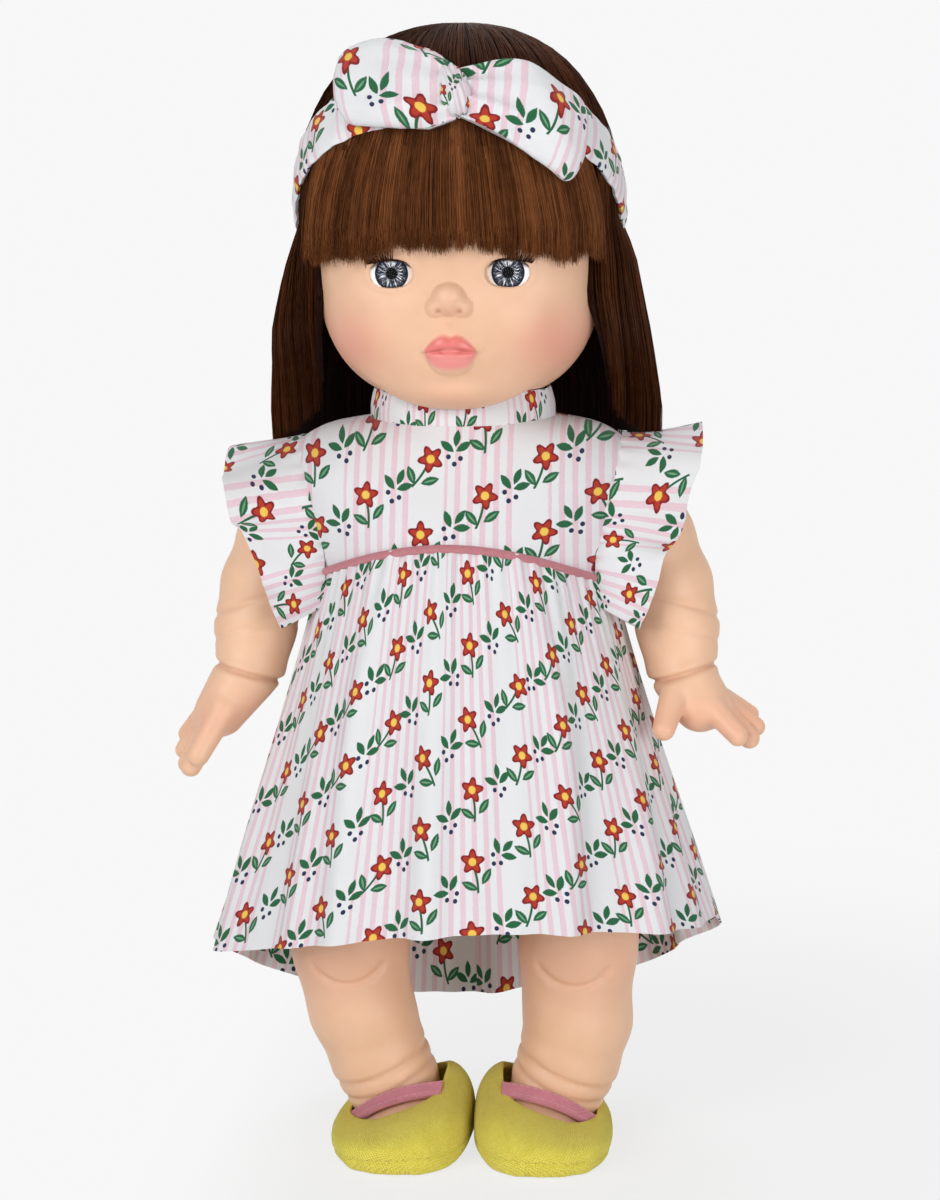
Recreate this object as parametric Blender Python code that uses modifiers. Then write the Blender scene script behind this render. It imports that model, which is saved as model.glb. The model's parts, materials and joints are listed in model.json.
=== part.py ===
"""A dressed vinyl doll: rotocast head, torso and limbs on snap-in flanges, weighted sleep eyes,
rooted hair with a knotted headband, a gathered dress with ruffled armholes, and cloth strap shoes.

Metres, +Z up, the doll faces -Y. The origin is on the floor, under the middle of the doll.
"""

import math

import bmesh
import bpy
from mathutils import Matrix, Vector

# Clearances and walls
GAP = 0.0003
RUN = 0.0005
VINYL_WALL = 0.003
CLOTH = 0.0011

# Heights of the joints above the floor
HIP_HEIGHT = 0.118
TORSO_LENGTH = 0.1155
SHOULDER_DROP = 0.0335
NECK_SEAT = HIP_HEIGHT + TORSO_LENGTH
SHOULDER_HEIGHT = NECK_SEAT - SHOULDER_DROP

# Snap joints: a flange inside the torso or head, on a stem through a hole in the wall
STEM_RADIUS = 0.0080
FLANGE_RADIUS = 0.0115
FLANGE_THICKNESS = 0.0033
NECK_STEM_RADIUS = 0.0098
NECK_FLANGE_RADIUS = 0.0138

# Torso
TORSO_HALF_WIDTH = 0.0375
TORSO_HALF_DEPTH = 0.0360
NECK_RADIUS = 0.0160
NECK_ROOT = 0.0040
SHOULDER_SEAT = 0.0352
HIP_SEAT = 0.0170
HIP_ROOM = 0.0010

# Head: a rounded body with its own exponents above and below, before and behind
HEAD_HALF_WIDTH = 0.0430
HEAD_HALF_DEPTH = 0.0470
HEAD_HALF_HEIGHT = 0.0530
HEAD_ABOVE_NECK = 0.0490
CROWN_EXPONENT = 2.3
JAW_EXPONENT = 2.8
FACE_EXPONENT = 2.5
NAPE_EXPONENT = 2.0
CHIN_RADII = (0.0190, 0.0150, 0.0135)
CHIN_FORWARD = 0.0255
CHIN_DROP = 0.0395
NOSE_RADII = (0.0064, 0.0056, 0.0058)
NOSE_DROP = 0.0235
NOSE_AHEAD = 0.0005
LIP_RADII = (0.0080, 0.0042, 0.0026)
UPPER_LIP_DROP = 0.0338
LOWER_LIP_DROP = 0.0378
LIP_AHEAD = 0.0016
COLLAR_ROOM = 0.0012

# Sleep eyes
EYE_RADIUS = 0.0085
EYE_SPACING = 0.0318
EYE_DROP = 0.0135
EYE_RECESS = 0.0008
EYE_OPENING_WIDTH = 0.0124
EYE_OPENING_HEIGHT = 0.0080
IRIS_RADIUS = 0.0047
IRIS_THICKNESS = 0.0008
IRIS_SETBACK = 0.0018
CORNEA_WALL = 0.0011
EYE_PIN_RADIUS = 0.0010
EYE_PIN_LENGTH = 0.0016
EYE_CASE_WALL = 0.0015
EYE_CASE_DEPTH = 0.0060
EYE_ARM_RADIUS = 0.0014
EYE_ARM_LENGTH = 0.0150
EYE_ARM_SLOPE = 0.42
EYE_WEIGHT_RADIUS = 0.0034
EYE_WEIGHT_LENGTH = 0.0070
LASH_SHARE = 0.38
LASH_REACH = 0.0042
LASH_CURL = 0.0010
LASH_THICKNESS = 0.0006
LASH_ANGLE = 19.0
LASH_END_ANGLE = 6.0

# Hair and headband
HAIR_THICKNESS = 0.0042
FRINGE_THICKNESS = 0.0036
FRINGE_DROP = 0.0072
FALL_THICKNESS = 0.0068
FALL_TUCK = 0.0015
FALL_FLARE = 0.0095
FALL_FLARE_DROP = 0.0200
FALL_FLARE_RUN = 0.0400
SIDE_FALL_DROP = 0.0585
BACK_FALL_DROP = 0.0650
FRINGE_HALF_ANGLE = 57.0
FRINGE_PARTING = 5.0
SIDE_FALL_END_ANGLE = 124.0
BAND_WIDTH = 0.0160
BAND_THICKNESS = 0.0016
BAND_TILT = 36.0
BAND_RISE = 0.0035
BAND_END_RISE = 0.0013
KNOT_RADII = (0.0085, 0.0055, 0.0080)
KNOT_LIFT = 0.0020
BOW_SWING = 31.0
BOW_RISE = {"left": 2.0, "right": -3.0}
BOW_LEAN = 14.0
BOW_LENGTH = 0.0330
BOW_HEIGHT = 0.0115
BOW_DEPTH = 0.0048

# Arms: distances along the limb from the shoulder axis, each with its radius
ARM_SPREAD = 0.0165
SHOULDER_BALL = 0.0140
UPPER_ARM_RADIUS = 0.0138
ELBOW_RADIUS = 0.0128
WRIST_RADIUS = 0.0094
ARM_LENGTH = 0.0550
ARM_BEND = 0.0090
PALM_RADII = (0.0105, 0.0075, 0.0110)
FINGER_RADIUS = 0.0034
FINGER_LENGTH = 0.0120
FINGER_COUNT = 4
FINGER_PITCH = 0.0048
FINGER_FAN = 0.105
FINGER_ROOT = 0.0045
PALM_OUT = 0.0035
HAND_TURN = 28.0
HAND_AIM = (0.42, -0.35, -0.84)
THUMB_AIM = (0.12, -0.45, -1.0)
ARM_BORE = 0.0075

# Legs and feet
THIGH_RADIUS = 0.0205
KNEE_RADIUS = 0.0190
CALF_RADIUS = 0.0172
CALF_INWARD = 0.0050
ANKLE_RADIUS = 0.0118
ANKLE_HEIGHT = 0.0235
ANKLE_SPREAD = 0.0258
ANKLE_BACK = -0.0005
FOOT_HALF_LENGTH = 0.0247
FOOT_HALF_WIDTH = 0.0178
FOOT_HEIGHT = 0.0240
FOOT_FORWARD = 0.0085
FOOT_INWARD = 0.0045
TOE_OUT = 4.0
WIDEST_SHARE = 0.30
LEG_BORE = 0.0105

# Shoes
SOLE_THICKNESS = 0.0024
SHOE_WALL = 0.0020
SOLE_SHARE = 0.88
SHOE_OPENING_HEIGHT = 0.0105
SHOE_OPENING_HALF_WIDTH = 0.0160
SHOE_OPENING_HALF_LENGTH = 0.0155
SHOE_OPENING_BACK = 0.0035
SHOE_OPENING_LENGTH = 0.0800
SHOE_OPENING_FLARE = 1.7
STRAP_WIDTH = 0.0058
STRAP_THICKNESS = 0.0012
STRAP_FORWARD = 0.0156
STRAP_END_ANGLE = 41.0

# Dress: drops are measured down from the neck seat
COLLAR_RADIUS = 0.0268
COLLAR_HEIGHT = 0.0070
COLLAR_DROP = 0.0020
COLLAR_SEAM_SHARE = 0.99
SHOULDER_HALF_WIDTH = 0.0502
WAIST_HALF_WIDTH = 0.0432
WAIST_FRONT_DEPTH = 0.0442
WAIST_BACK_DEPTH = 0.0392
WAIST_FRONT_DROP = 0.0415
WAIST_SIDE_DROP = 0.0555
WAIST_BACK_DROP = 0.0595
WAIST_LEAN = 0.025
BODICE_EXPONENT = 2.1
ARMHOLE_HALF_DEPTH = 0.0205
ARMHOLE_HALF_HEIGHT = 0.0219
ARMHOLE_DROP = 0.0042
PIPING_RADIUS = 0.0012
HEM_FRONT_DROP = 0.1533
HEM_SIDE_DROP = 0.1658
HEM_BACK_DROP = 0.2038
HEM_BACK_EXPONENT = 1.1
HEM_HALF_WIDTH = 0.0775
HEM_FRONT_DEPTH = 0.0560
HEM_BACK_DEPTH = 0.0520
HEM_SHIFT = -0.0020
HEM_LEAN = 0.057
SKIRT_FRONT_SPREAD = 0.88
SKIRT_SIDE_SPREAD = 1.12
SKIRT_FOLDS = ((0.0017, 11, 0.6), (0.0013, 17, 2.1))
SKIRT_FOLD_BEND = 0.16
RUFFLE_SEAM_TOP = 0.0185
RUFFLE_SEAM_LOW = 0.0270
RUFFLE_SEAM_DEPTH = 0.0212
RUFFLE_STRAIGHT = 0.30
RUFFLE_END_DROOP = 0.0070
RUFFLE_REACH = 0.0235
RUFFLE_END_SHARE = 0.38
RUFFLE_FLARE = 0.20
RUFFLE_DROOP = 0.0030
RUFFLE_WAVES = 3.5
RUFFLE_WAVE_DEPTH = 0.0020
PLACKET_WIDTH = 0.0110
PLACKET_TOP_DROP = 0.0150
PLACKET_LOW_RISE = 0.0040
BUTTON_RADIUS = 0.0032
BUTTON_THICKNESS = 0.0014
BUTTON_COUNT = 2

# Depth of the floor point under the doll, which centres the whole doll on the origin
FRAME_SHIFT = 0.0019

HEAD_CENTRE = Vector((0, 0, NECK_SEAT + HEAD_ABOVE_NECK))
SIDES = (("left", -1), ("right", 1))


def clear_scene():
    for old in list(bpy.data.objects):
        bpy.data.objects.remove(old, do_unlink=True)


def collection(name):
    made = bpy.data.collections.new(name)
    bpy.context.scene.collection.children.link(made)
    return made


def material(name, colour, roughness, metallic=0.0, alpha=1.0):
    made = bpy.data.materials.new(name)
    made.use_nodes = True
    shader = made.node_tree.nodes["Principled BSDF"]
    shader.inputs["Base Color"].default_value = (*colour, 1.0)
    shader.inputs["Roughness"].default_value = roughness
    shader.inputs["Metallic"].default_value = metallic
    shader.inputs["Alpha"].default_value = alpha
    return made


def place(name, mesh, finish=None):
    """A named part when it has a finish, and otherwise a hidden helper for a cut or a join."""
    made = bpy.data.objects.new(name, mesh)
    made.parent = FRAME
    if finish:
        PARTS.objects.link(made)
        mesh.materials.clear()
        mesh.materials.append(finish)
    else:
        CUTTERS.objects.link(made)
        made.hide_render = True
        made.display_type = "WIRE"
    return made


def mesh_of(name, bm, closed_body=True):
    if closed_body:
        bmesh.ops.recalc_face_normals(bm, faces=bm.faces)
    mesh = bpy.data.meshes.new(name)
    bm.to_mesh(mesh)
    bm.free()
    mesh.shade_smooth()
    mesh.set_sharp_from_angle(angle=math.radians(40))
    return mesh


def combine(part, operation, *others):
    for other in others:
        step = part.modifiers.new(other.name, "BOOLEAN")
        step.operation = operation
        step.object = other
    return part


def cut(part, *others):
    return combine(part, "DIFFERENCE", *others)


def join(part, *others):
    return combine(part, "UNION", *others)


def keep_inside(part, *others):
    return combine(part, "INTERSECT", *others)


def ellipsoid(name, centre, radii, finish=None, segments=20, rings=12, turn=None):
    bm = bmesh.new()
    shape = Matrix.Translation(centre) @ (turn or Matrix.Identity(4)) @ Matrix.Diagonal((*radii, 1))
    bmesh.ops.create_uvsphere(bm, u_segments=segments, v_segments=rings, radius=1, matrix=shape)
    return place(name, mesh_of(name, bm), finish)


def cylinder(name, start, end, radius, finish=None, segments=18, end_radius=None):
    start, end = Vector(start), Vector(end)
    along = end - start
    turn = along.to_track_quat("Z", "Y").to_matrix().to_4x4()
    bm = bmesh.new()
    bmesh.ops.create_cone(
        bm,
        cap_ends=True,
        segments=segments,
        radius1=radius,
        radius2=radius if end_radius is None else end_radius,
        depth=along.length,
        matrix=Matrix.Translation((start + end) / 2) @ turn,
    )
    return place(name, mesh_of(name, bm), finish)


def box(name, start, end, turn=None):
    """A block between two opposite corners."""
    low = Vector([min(pair) for pair in zip(start, end)])
    high = Vector([max(pair) for pair in zip(start, end)])
    bm = bmesh.new()
    shape = Matrix.Translation((low + high) / 2) @ Matrix.Diagonal((*(high - low), 1))
    bmesh.ops.create_cube(bm, size=1, matrix=(turn or Matrix.Identity(4)) @ shape)
    return place(name, mesh_of(name, bm))


def loft(name, rings, finish=None, segments=20):
    """A closed body through rings, each a matrix that carries a unit circle to its place."""
    bm = bmesh.new()
    loops = []
    for ring in rings:
        made = bmesh.ops.create_circle(bm, cap_ends=False, segments=segments, radius=1, matrix=ring)
        loops.append(list({edge for vert in made["verts"] for edge in vert.link_edges}))
    for lower, upper in zip(loops, loops[1:]):
        bmesh.ops.bridge_loops(bm, edges=lower + upper)
    for end in (loops[0], loops[-1]):
        bmesh.ops.contextual_create(bm, geom=end)
    return place(name, mesh_of(name, bm), finish)


def ring(centre, normal, half_u, half_v):
    """The matrix of an ellipse round centre, square to normal, with half_u across and half_v deep."""
    turn = Vector(normal).to_track_quat("Z", "Y").to_matrix().to_4x4()
    return Matrix.Translation(centre) @ turn @ Matrix.Diagonal((half_u, half_v, 1, 1))


def sheet(name, columns, rows, where, thickness, inside, finish=None, closed=False):
    """A cloth or hair layer: a grid laid by where(u, v), both from 0 to 1, thickened away from inside."""
    bm = bmesh.new()
    bmesh.ops.create_grid(bm, x_segments=columns, y_segments=rows, size=0.5)
    for vert in bm.verts:
        vert.co = Vector(where(vert.co.x + 0.5, vert.co.y + 0.5))
    if closed:
        bmesh.ops.remove_doubles(bm, verts=bm.verts, dist=0.00005)
    bmesh.ops.recalc_face_normals(bm, faces=bm.faces)
    bm.normal_update()
    facing = 0.0
    for face in bm.faces:
        facing += face.normal.dot(face.calc_center_median() - inside) * face.calc_area()
    if facing < 0:
        bmesh.ops.reverse_faces(bm, faces=bm.faces)
    made = place(name, mesh_of(name, bm, closed_body=False), finish)
    skin = made.modifiers.new("thickness", "SOLIDIFY")
    skin.thickness = thickness
    skin.offset = 1.0
    return made


def signed_power(value, exponent):
    return math.copysign(abs(value) ** exponent, value)


def head_point(direction, offset):
    """The point of the head's rounded surface in a unit direction, grown outwards by offset."""
    upright = 2 / (CROWN_EXPONENT if direction.z > 0 else JAW_EXPONENT)
    around = 2 / (FACE_EXPONENT if direction.y < 0 else NAPE_EXPONENT)
    flat = math.hypot(direction.x, direction.y)
    across, deep = (direction.x / flat, direction.y / flat) if flat > 1e-6 else (0, 0)
    reach = flat**upright
    return HEAD_CENTRE + Vector(
        (
            (HEAD_HALF_WIDTH + offset) * reach * signed_power(across, around),
            (HEAD_HALF_DEPTH + offset) * reach * signed_power(deep, around),
            (HEAD_HALF_HEIGHT + offset) * signed_power(direction.z, upright),
        )
    )


def head_body(name, offset, finish=None, segments=32, rings=20):
    bm = bmesh.new()
    bmesh.ops.create_uvsphere(bm, u_segments=segments, v_segments=rings, radius=1)
    for vert in bm.verts:
        vert.co = head_point(vert.co.normalized(), offset)
    return place(name, mesh_of(name, bm), finish)


def head_slice(height):
    """Half width and half depth of the head's section at a height below its centre."""
    share = min(abs(height - HEAD_CENTRE.z) / HEAD_HALF_HEIGHT, 1)
    exponent = CROWN_EXPONENT if height > HEAD_CENTRE.z else JAW_EXPONENT
    reach = (1 - share**exponent) ** (1 / exponent)
    return HEAD_HALF_WIDTH * reach, HEAD_HALF_DEPTH * reach


def face_depth(across, height):
    """Y of the front of the head at a distance across from the middle."""
    half_width, half_depth = head_slice(height)
    return -half_depth * (1 - abs(across / half_width) ** FACE_EXPONENT) ** (1 / FACE_EXPONENT)


def ease(start, end, share):
    """Blends two values with a soft start and end."""
    share = max(0.0, min(1.0, share))
    return start + (end - start) * share * share * (3 - 2 * share)


# Torso


def torso_ring(height, half_width, half_depth):
    return ring((0, 0, height), (0, 0, 1), half_width, half_depth)


def torso_rings(inset):
    """Sections of the torso from the crotch to the base of the neck, drawn in by inset."""
    shares = (
        (-0.185, 0.34, 0.40),
        (-0.130, 0.72, 0.74),
        (-0.020, 0.96, 0.95),
        (0.150, 1.02, 1.05),
        (0.360, 1.02, 1.06),
        (0.560, 1.01, 0.97),
        (0.740, 1.02, 0.86),
        (0.830, 1.01, 0.76),
    )
    rings = [
        torso_ring(
            HIP_HEIGHT + share * TORSO_LENGTH + (inset if share < 0 else 0),
            TORSO_HALF_WIDTH * wide - inset,
            TORSO_HALF_DEPTH * deep - inset,
        )
        for share, wide, deep in shares
    ]
    top = NECK_SEAT - COLLAR_HEIGHT - 2 * COLLAR_DROP - inset
    return rings + [torso_ring(top, NECK_RADIUS + NECK_ROOT - inset, NECK_RADIUS - inset)]


def leg_notches(name, margin):
    """Blocks that the thighs turn in, on both sides of the crotch."""
    roof = HIP_HEIGHT + THIGH_RADIUS + HIP_ROOM + margin
    reach = 2 * TORSO_HALF_WIDTH
    seat = HIP_SEAT - margin
    blocks = []
    for side, sign in SIDES:
        blocks.append(box(f"{name}_{side}", (sign * seat, -reach, 0), (sign * reach, reach, roof)))
    return blocks


def torso():
    body = loft("torso", torso_rings(0), VINYL, segments=16)
    cut(body, *leg_notches("hip_seat", 0))
    hollow = loft("torso_hollow", torso_rings(VINYL_WALL), segments=12)
    cut(hollow, *leg_notches("hip_wall", VINYL_WALL))
    wide = SHOULDER_SEAT - VINYL_WALL
    keep_inside(hollow, box("shoulder_wall", (-wide, -1, 0), (wide, 1, 1)))
    for side, sign in SIDES:
        seat = cylinder(
            f"shoulder_seat_{side}",
            (sign * SHOULDER_SEAT, 0, SHOULDER_HEIGHT),
            (sign * 2 * TORSO_HALF_WIDTH, 0, SHOULDER_HEIGHT),
            SHOULDER_BALL + RUN,
        )
        cut(body, seat)
        flange_room = cylinder(
            f"shoulder_room_{side}",
            (sign * (wide - FLANGE_THICKNESS - 2 * RUN), 0, SHOULDER_HEIGHT),
            (sign * (wide + GAP), 0, SHOULDER_HEIGHT),
            FLANGE_RADIUS + RUN,
        )
        join(hollow, flange_room)
    cut(body, hollow)
    for height, seat in ((SHOULDER_HEIGHT, SHOULDER_SEAT), (HIP_HEIGHT, HIP_SEAT)):
        reach = Vector((2 * seat, 0, 0))
        middle = Vector((0, 0, height))
        cut(body, cylinder(f"socket_{height:.3f}", middle - reach, middle + reach, STEM_RADIUS + GAP))
    neck_base = NECK_SEAT - COLLAR_HEIGHT - 2 * COLLAR_DROP - VINYL_WALL / 2
    plate_top = NECK_SEAT + GAP + VINYL_WALL + RUN
    join(
        body,
        cylinder("neck_post", (0, 0, neck_base), (0, 0, NECK_SEAT), NECK_RADIUS),
        cylinder("neck_stem", (0, 0, NECK_SEAT - GAP), (0, 0, plate_top + GAP), NECK_STEM_RADIUS),
        cylinder(
            "neck_flange",
            (0, 0, plate_top),
            (0, 0, plate_top + FLANGE_THICKNESS),
            NECK_FLANGE_RADIUS,
            end_radius=NECK_FLANGE_RADIUS * 0.8,
        ),
    )
    return body


# Head and eyes


def eye_centre(sign):
    height = HEAD_CENTRE.z - EYE_DROP
    across = sign * EYE_SPACING / 2
    return Vector((across, face_depth(across, height) + EYE_RECESS + EYE_RADIUS, height))


def head():
    shell = head_body("head_shell", 0, VINYL, segments=24, rings=16)
    chin_centre = HEAD_CENTRE + Vector((0, -CHIN_FORWARD, -CHIN_DROP))
    join(shell, ellipsoid("chin", chin_centre, CHIN_RADII, segments=16, rings=10))
    features = (
        ("nose", NOSE_DROP, NOSE_AHEAD, NOSE_RADII),
        ("upper_lip", UPPER_LIP_DROP, LIP_AHEAD, LIP_RADII),
        ("lower_lip", LOWER_LIP_DROP, LIP_AHEAD, LIP_RADII),
    )
    for name, drop, ahead, radii in features:
        height = HEAD_CENTRE.z - drop
        centre = (0, face_depth(0, height) - ahead, height)
        join(shell, ellipsoid(name, centre, radii, segments=12, rings=6))
    recess = COLLAR_RADIUS + CLOTH + COLLAR_ROOM
    cut(shell, cylinder("collar_room", (0, 0, 0), (0, 0, NECK_SEAT + GAP), recess))
    hollow = head_body("head_hollow", -VINYL_WALL, segments=18, rings=10)
    floor = NECK_SEAT + GAP + VINYL_WALL
    keep_inside(hollow, box("head_floor", (-1, -1, floor), (1, 1, 1)))
    cut(shell, hollow)
    cut(shell, cylinder("neck_hole", (0, 0, 0), (0, 0, floor + RUN), NECK_STEM_RADIUS + GAP))
    for side, sign in SIDES:
        centre = eye_centre(sign)
        room = EYE_RADIUS + 1.5 * RUN
        cut(shell, ellipsoid(f"{side}_eye_room", centre, (room, room, room), segments=20, rings=12))
        ends = (0, 0, -4 * EYE_RADIUS), (0, 0, 2 * EYE_RADIUS)
        window = cylinder(f"{side}_eye_window", *ends, 1, segments=16)
        window.data.transform(Matrix.Diagonal((EYE_OPENING_WIDTH / 2, EYE_OPENING_HEIGHT / 2, 1, 1)))
        window.data.transform(Matrix.Translation(centre) @ Matrix.Rotation(math.radians(-90), 4, "X"))
        cut(shell, window)
        reach = Vector((EYE_RADIUS + EYE_PIN_LENGTH + RUN, 0, 0))
        pin_radius = EYE_PIN_RADIUS + RUN
        cut(shell, cylinder(f"{side}_pin_room", centre - reach, centre + reach, pin_radius, segments=12))
    return shell


def lash(side, sign):
    """A strip of lashes along the edge of the lid, curling up and out of the eye window."""
    centre = eye_centre(sign)
    half = math.asin(LASH_SHARE * EYE_OPENING_WIDTH / EYE_RADIUS)
    radius = EYE_RADIUS + GAP

    def where(u, v):
        swing = half * (2 * u - 1)
        lift = math.radians(LASH_ANGLE - (LASH_ANGLE - LASH_END_ANGLE) * (2 * u - 1) ** 2)
        ahead = radius * math.cos(lift) * math.cos(swing) + LASH_REACH * v
        above = radius * math.sin(lift) + LASH_CURL * v * v
        return centre + Vector((radius * math.sin(swing), -ahead, above))

    return sheet(f"{side}_lashes", 8, 2, where, LASH_THICKNESS, centre - Vector((0, 0, EYE_RADIUS)), LASH)


def eye(side, sign):
    """A weighted eye on two pins: ball, iris, cornea, lashes and weight, in a case behind the face."""
    centre = eye_centre(sign)
    front = centre.y - EYE_RADIUS
    iris_back = front + CORNEA_WALL + IRIS_THICKNESS + IRIS_SETBACK
    ball = ellipsoid(f"{side}_eyeball", centre, (EYE_RADIUS,) * 3, EYE_WHITE, segments=16, rings=10)
    seat_start = (centre.x, iris_back, centre.z)
    ahead = (centre.x, front - EYE_RADIUS, centre.z)
    cut(ball, cylinder(f"{side}_iris_seat", ahead, seat_start, IRIS_RADIUS + GAP, segments=16))
    pin_reach = EYE_RADIUS + EYE_PIN_LENGTH
    pin = cylinder(
        f"{side}_eye_pins",
        (centre.x - pin_reach, centre.y, centre.z),
        (centre.x + pin_reach, centre.y, centre.z),
        EYE_PIN_RADIUS,
        segments=8,
    )
    arm_direction = Vector((0, EYE_ARM_SLOPE, -1)).normalized()
    arm_end = centre + arm_direction * EYE_ARM_LENGTH
    arm = cylinder(f"{side}_eye_arm", centre, arm_end, EYE_ARM_RADIUS, segments=8)
    join(ball, pin, arm)
    half = Vector((EYE_WEIGHT_LENGTH / 2, 0, 0))
    slug = arm_end + arm_direction * (EYE_WEIGHT_RADIUS * 0.4)
    weight = cylinder(f"{side}_eye_weight", slug - half, slug + half, EYE_WEIGHT_RADIUS, STEEL, segments=16)
    socket_end = arm_end + arm_direction * GAP
    cut(weight, cylinder(f"{side}_arm_socket", centre, socket_end, EYE_ARM_RADIUS + GAP, segments=8))
    iris_front = iris_back - GAP - IRIS_THICKNESS
    disc_back = (centre.x, iris_back - GAP, centre.z)
    disc_front = (centre.x, iris_front, centre.z)
    iris = cylinder(f"{side}_iris", disc_back, disc_front, IRIS_RADIUS, IRIS, segments=16)
    cornea = ellipsoid(f"{side}_cornea", centre, (EYE_RADIUS,) * 3, CLEAR, segments=16, rings=10)
    dome_back = (centre.x, iris_front - GAP, centre.z)
    keep_inside(cornea, cylinder(f"{side}_cornea_edge", ahead, dome_back, IRIS_RADIUS, segments=16))
    case_inner = EYE_RADIUS + RUN
    case = cylinder(
        f"{side}_eye_case",
        (centre.x, -2 * HEAD_HALF_DEPTH, centre.z),
        (centre.x, centre.y + EYE_CASE_DEPTH, centre.z),
        case_inner + EYE_CASE_WALL,
        CASE,
        segments=20,
    )
    bore_ends = (centre.x, -1, centre.z), (centre.x, 1, centre.z)
    cut(
        case,
        cylinder(f"{side}_case_bore", *bore_ends, case_inner, segments=20),
        cylinder(
            f"{side}_pin_holes",
            (centre.x - 2 * case_inner, centre.y, centre.z),
            (centre.x + 2 * case_inner, centre.y, centre.z),
            EYE_PIN_RADIUS + GAP,
            segments=12,
        ),
    )
    keep_inside(case, head_body(f"{side}_case_limit", -VINYL_WALL - GAP, segments=18, rings=10))
    slot_low = centre + Vector((-EYE_ARM_RADIUS - RUN, 0, -2 * EYE_RADIUS))
    slot_high = centre + Vector((EYE_ARM_RADIUS + RUN, EYE_RADIUS * 2, 0))
    cut(case, box(f"{side}_arm_slot", slot_low, slot_high))
    return ball, iris, cornea, weight, case, lash(side, sign)


# Hair and headband


def band_turn():
    """Carries flat things to the tilted plane of the headband."""
    tilt = Matrix.Rotation(math.radians(-BAND_TILT), 4, "X")
    return Matrix.Translation(HEAD_CENTRE + Vector((0, 0, BAND_RISE))) @ tilt


def half_space(name, above, offset):
    """A large block on one side of the headband's plane."""
    low, high = (offset, 1) if above else (-1, offset)
    return box(name, (-1, -1, low), (1, 1, high), turn=band_turn())


def hair_crown():
    crown = head_body("hair_crown", HAIR_THICKNESS, HAIR, segments=24, rings=16)
    cut(crown, head_body("crown_inside", GAP, segments=24, rings=16))
    return keep_inside(crown, half_space("crown_edge", True, GAP / 2))


def hair_fringe():
    fringe = head_body("hair_fringe", FRINGE_THICKNESS, HAIR, segments=24, rings=16)
    cut(fringe, head_body("fringe_inside", GAP, segments=24, rings=16))
    keep_inside(fringe, half_space("fringe_edge", False, -GAP / 2))
    lowest = HEAD_CENTRE.z - FRINGE_DROP
    edge = math.radians(FRINGE_HALF_ANGLE)
    half = (HEAD_HALF_WIDTH + FRINGE_THICKNESS) * math.sin(edge)
    front = -(HEAD_HALF_DEPTH + FRINGE_THICKNESS) * math.cos(edge) ** (2 / FACE_EXPONENT)
    return keep_inside(fringe, box("fringe_cut", (-half, -1, lowest), (half, front, 1)))


def band_height(angle):
    """Height of the headband's plane on the head's side, at an angle from the front."""
    depth = -HEAD_HALF_DEPTH * math.cos(angle)
    return HEAD_CENTRE.z + BAND_RISE - depth * math.tan(math.radians(BAND_TILT))


def hair_fall(name, start, end, drop, columns):
    """Loose hair hanging from under the headband, between two angles from the front."""
    first, last = math.radians(start), math.radians(end)
    lowest = HEAD_CENTRE.z - drop

    def where(u, v):
        angle = first + (last - first) * u
        top = min(band_height(angle) - FALL_TUCK, HEAD_CENTRE.z)
        height = top + (lowest - top) * v
        flare = FALL_FLARE * ease(0, 1, (HEAD_CENTRE.z - height - FALL_FLARE_DROP) / FALL_FLARE_RUN)
        side = HEAD_HALF_WIDTH + 3 * GAP + flare
        back = HEAD_HALF_DEPTH + 3 * GAP - 0.25 * flare
        around = 2 / (FACE_EXPONENT if math.cos(angle) > 0 else NAPE_EXPONENT)
        across = side * signed_power(math.sin(angle), around)
        return Vector((across, -back * signed_power(math.cos(angle), around), height))

    return sheet(name, columns, 5, where, FALL_THICKNESS, HEAD_CENTRE, HAIR)


def headband():
    inner = HAIR_THICKNESS + GAP
    band = head_body("headband", inner + BAND_THICKNESS, PRINT, segments=24, rings=16)
    cut(band, head_body("band_inside", inner, segments=24, rings=16))
    half = BAND_WIDTH / 2
    keep_inside(band, box("band_edges", (-1, -1, -half), (1, 1, half), turn=band_turn()))
    lowest = HEAD_CENTRE.z + BAND_END_RISE
    return keep_inside(band, box("band_ends", (-1, -1, lowest), (1, 1, 1)))


def bow():
    """The knot on the front of the band and the two tied ends beside it."""
    inner = HAIR_THICKNESS + GAP + BAND_THICKNESS + GAP
    tilt = math.radians(90 - BAND_TILT)
    outward = Vector((0, -math.sin(tilt), math.cos(tilt)))
    seat = head_point(Vector((0, -math.sin(tilt), math.cos(tilt))), inner)
    facing = outward.to_track_quat("-Y", "Z").to_matrix().to_4x4()
    room = head_body("bow_inside", inner, segments=24, rings=16)
    knot_centre = seat + outward * KNOT_LIFT
    cut(ellipsoid("bow_knot", knot_centre, KNOT_RADII, PRINT, segments=14, rings=8, turn=facing), room)
    for side, sign in SIDES:
        swing = math.radians(sign * BOW_SWING)
        rise = math.radians(BAND_TILT + BOW_RISE[side])
        way = Vector((math.sin(swing) * math.cos(rise), -math.cos(swing) * math.cos(rise), math.sin(rise)))
        centre = head_point(way, inner + BOW_DEPTH * 0.55)
        lean = Matrix.Rotation(math.radians(sign * BOW_LEAN), 4, "Y")
        turn = way.to_track_quat("-Y", "Z").to_matrix().to_4x4() @ lean
        radii = (BOW_LENGTH / 2, BOW_DEPTH, BOW_HEIGHT)
        end = ellipsoid(f"bow_{side}", centre, radii, PRINT, segments=16, rings=8, turn=turn)
        cut(end, room)
        knot_room = [radius + GAP for radius in KNOT_RADII]
        cut(end, ellipsoid(f"knot_room_{side}", knot_centre, knot_room, segments=16, rings=10, turn=facing))


# Limbs


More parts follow.
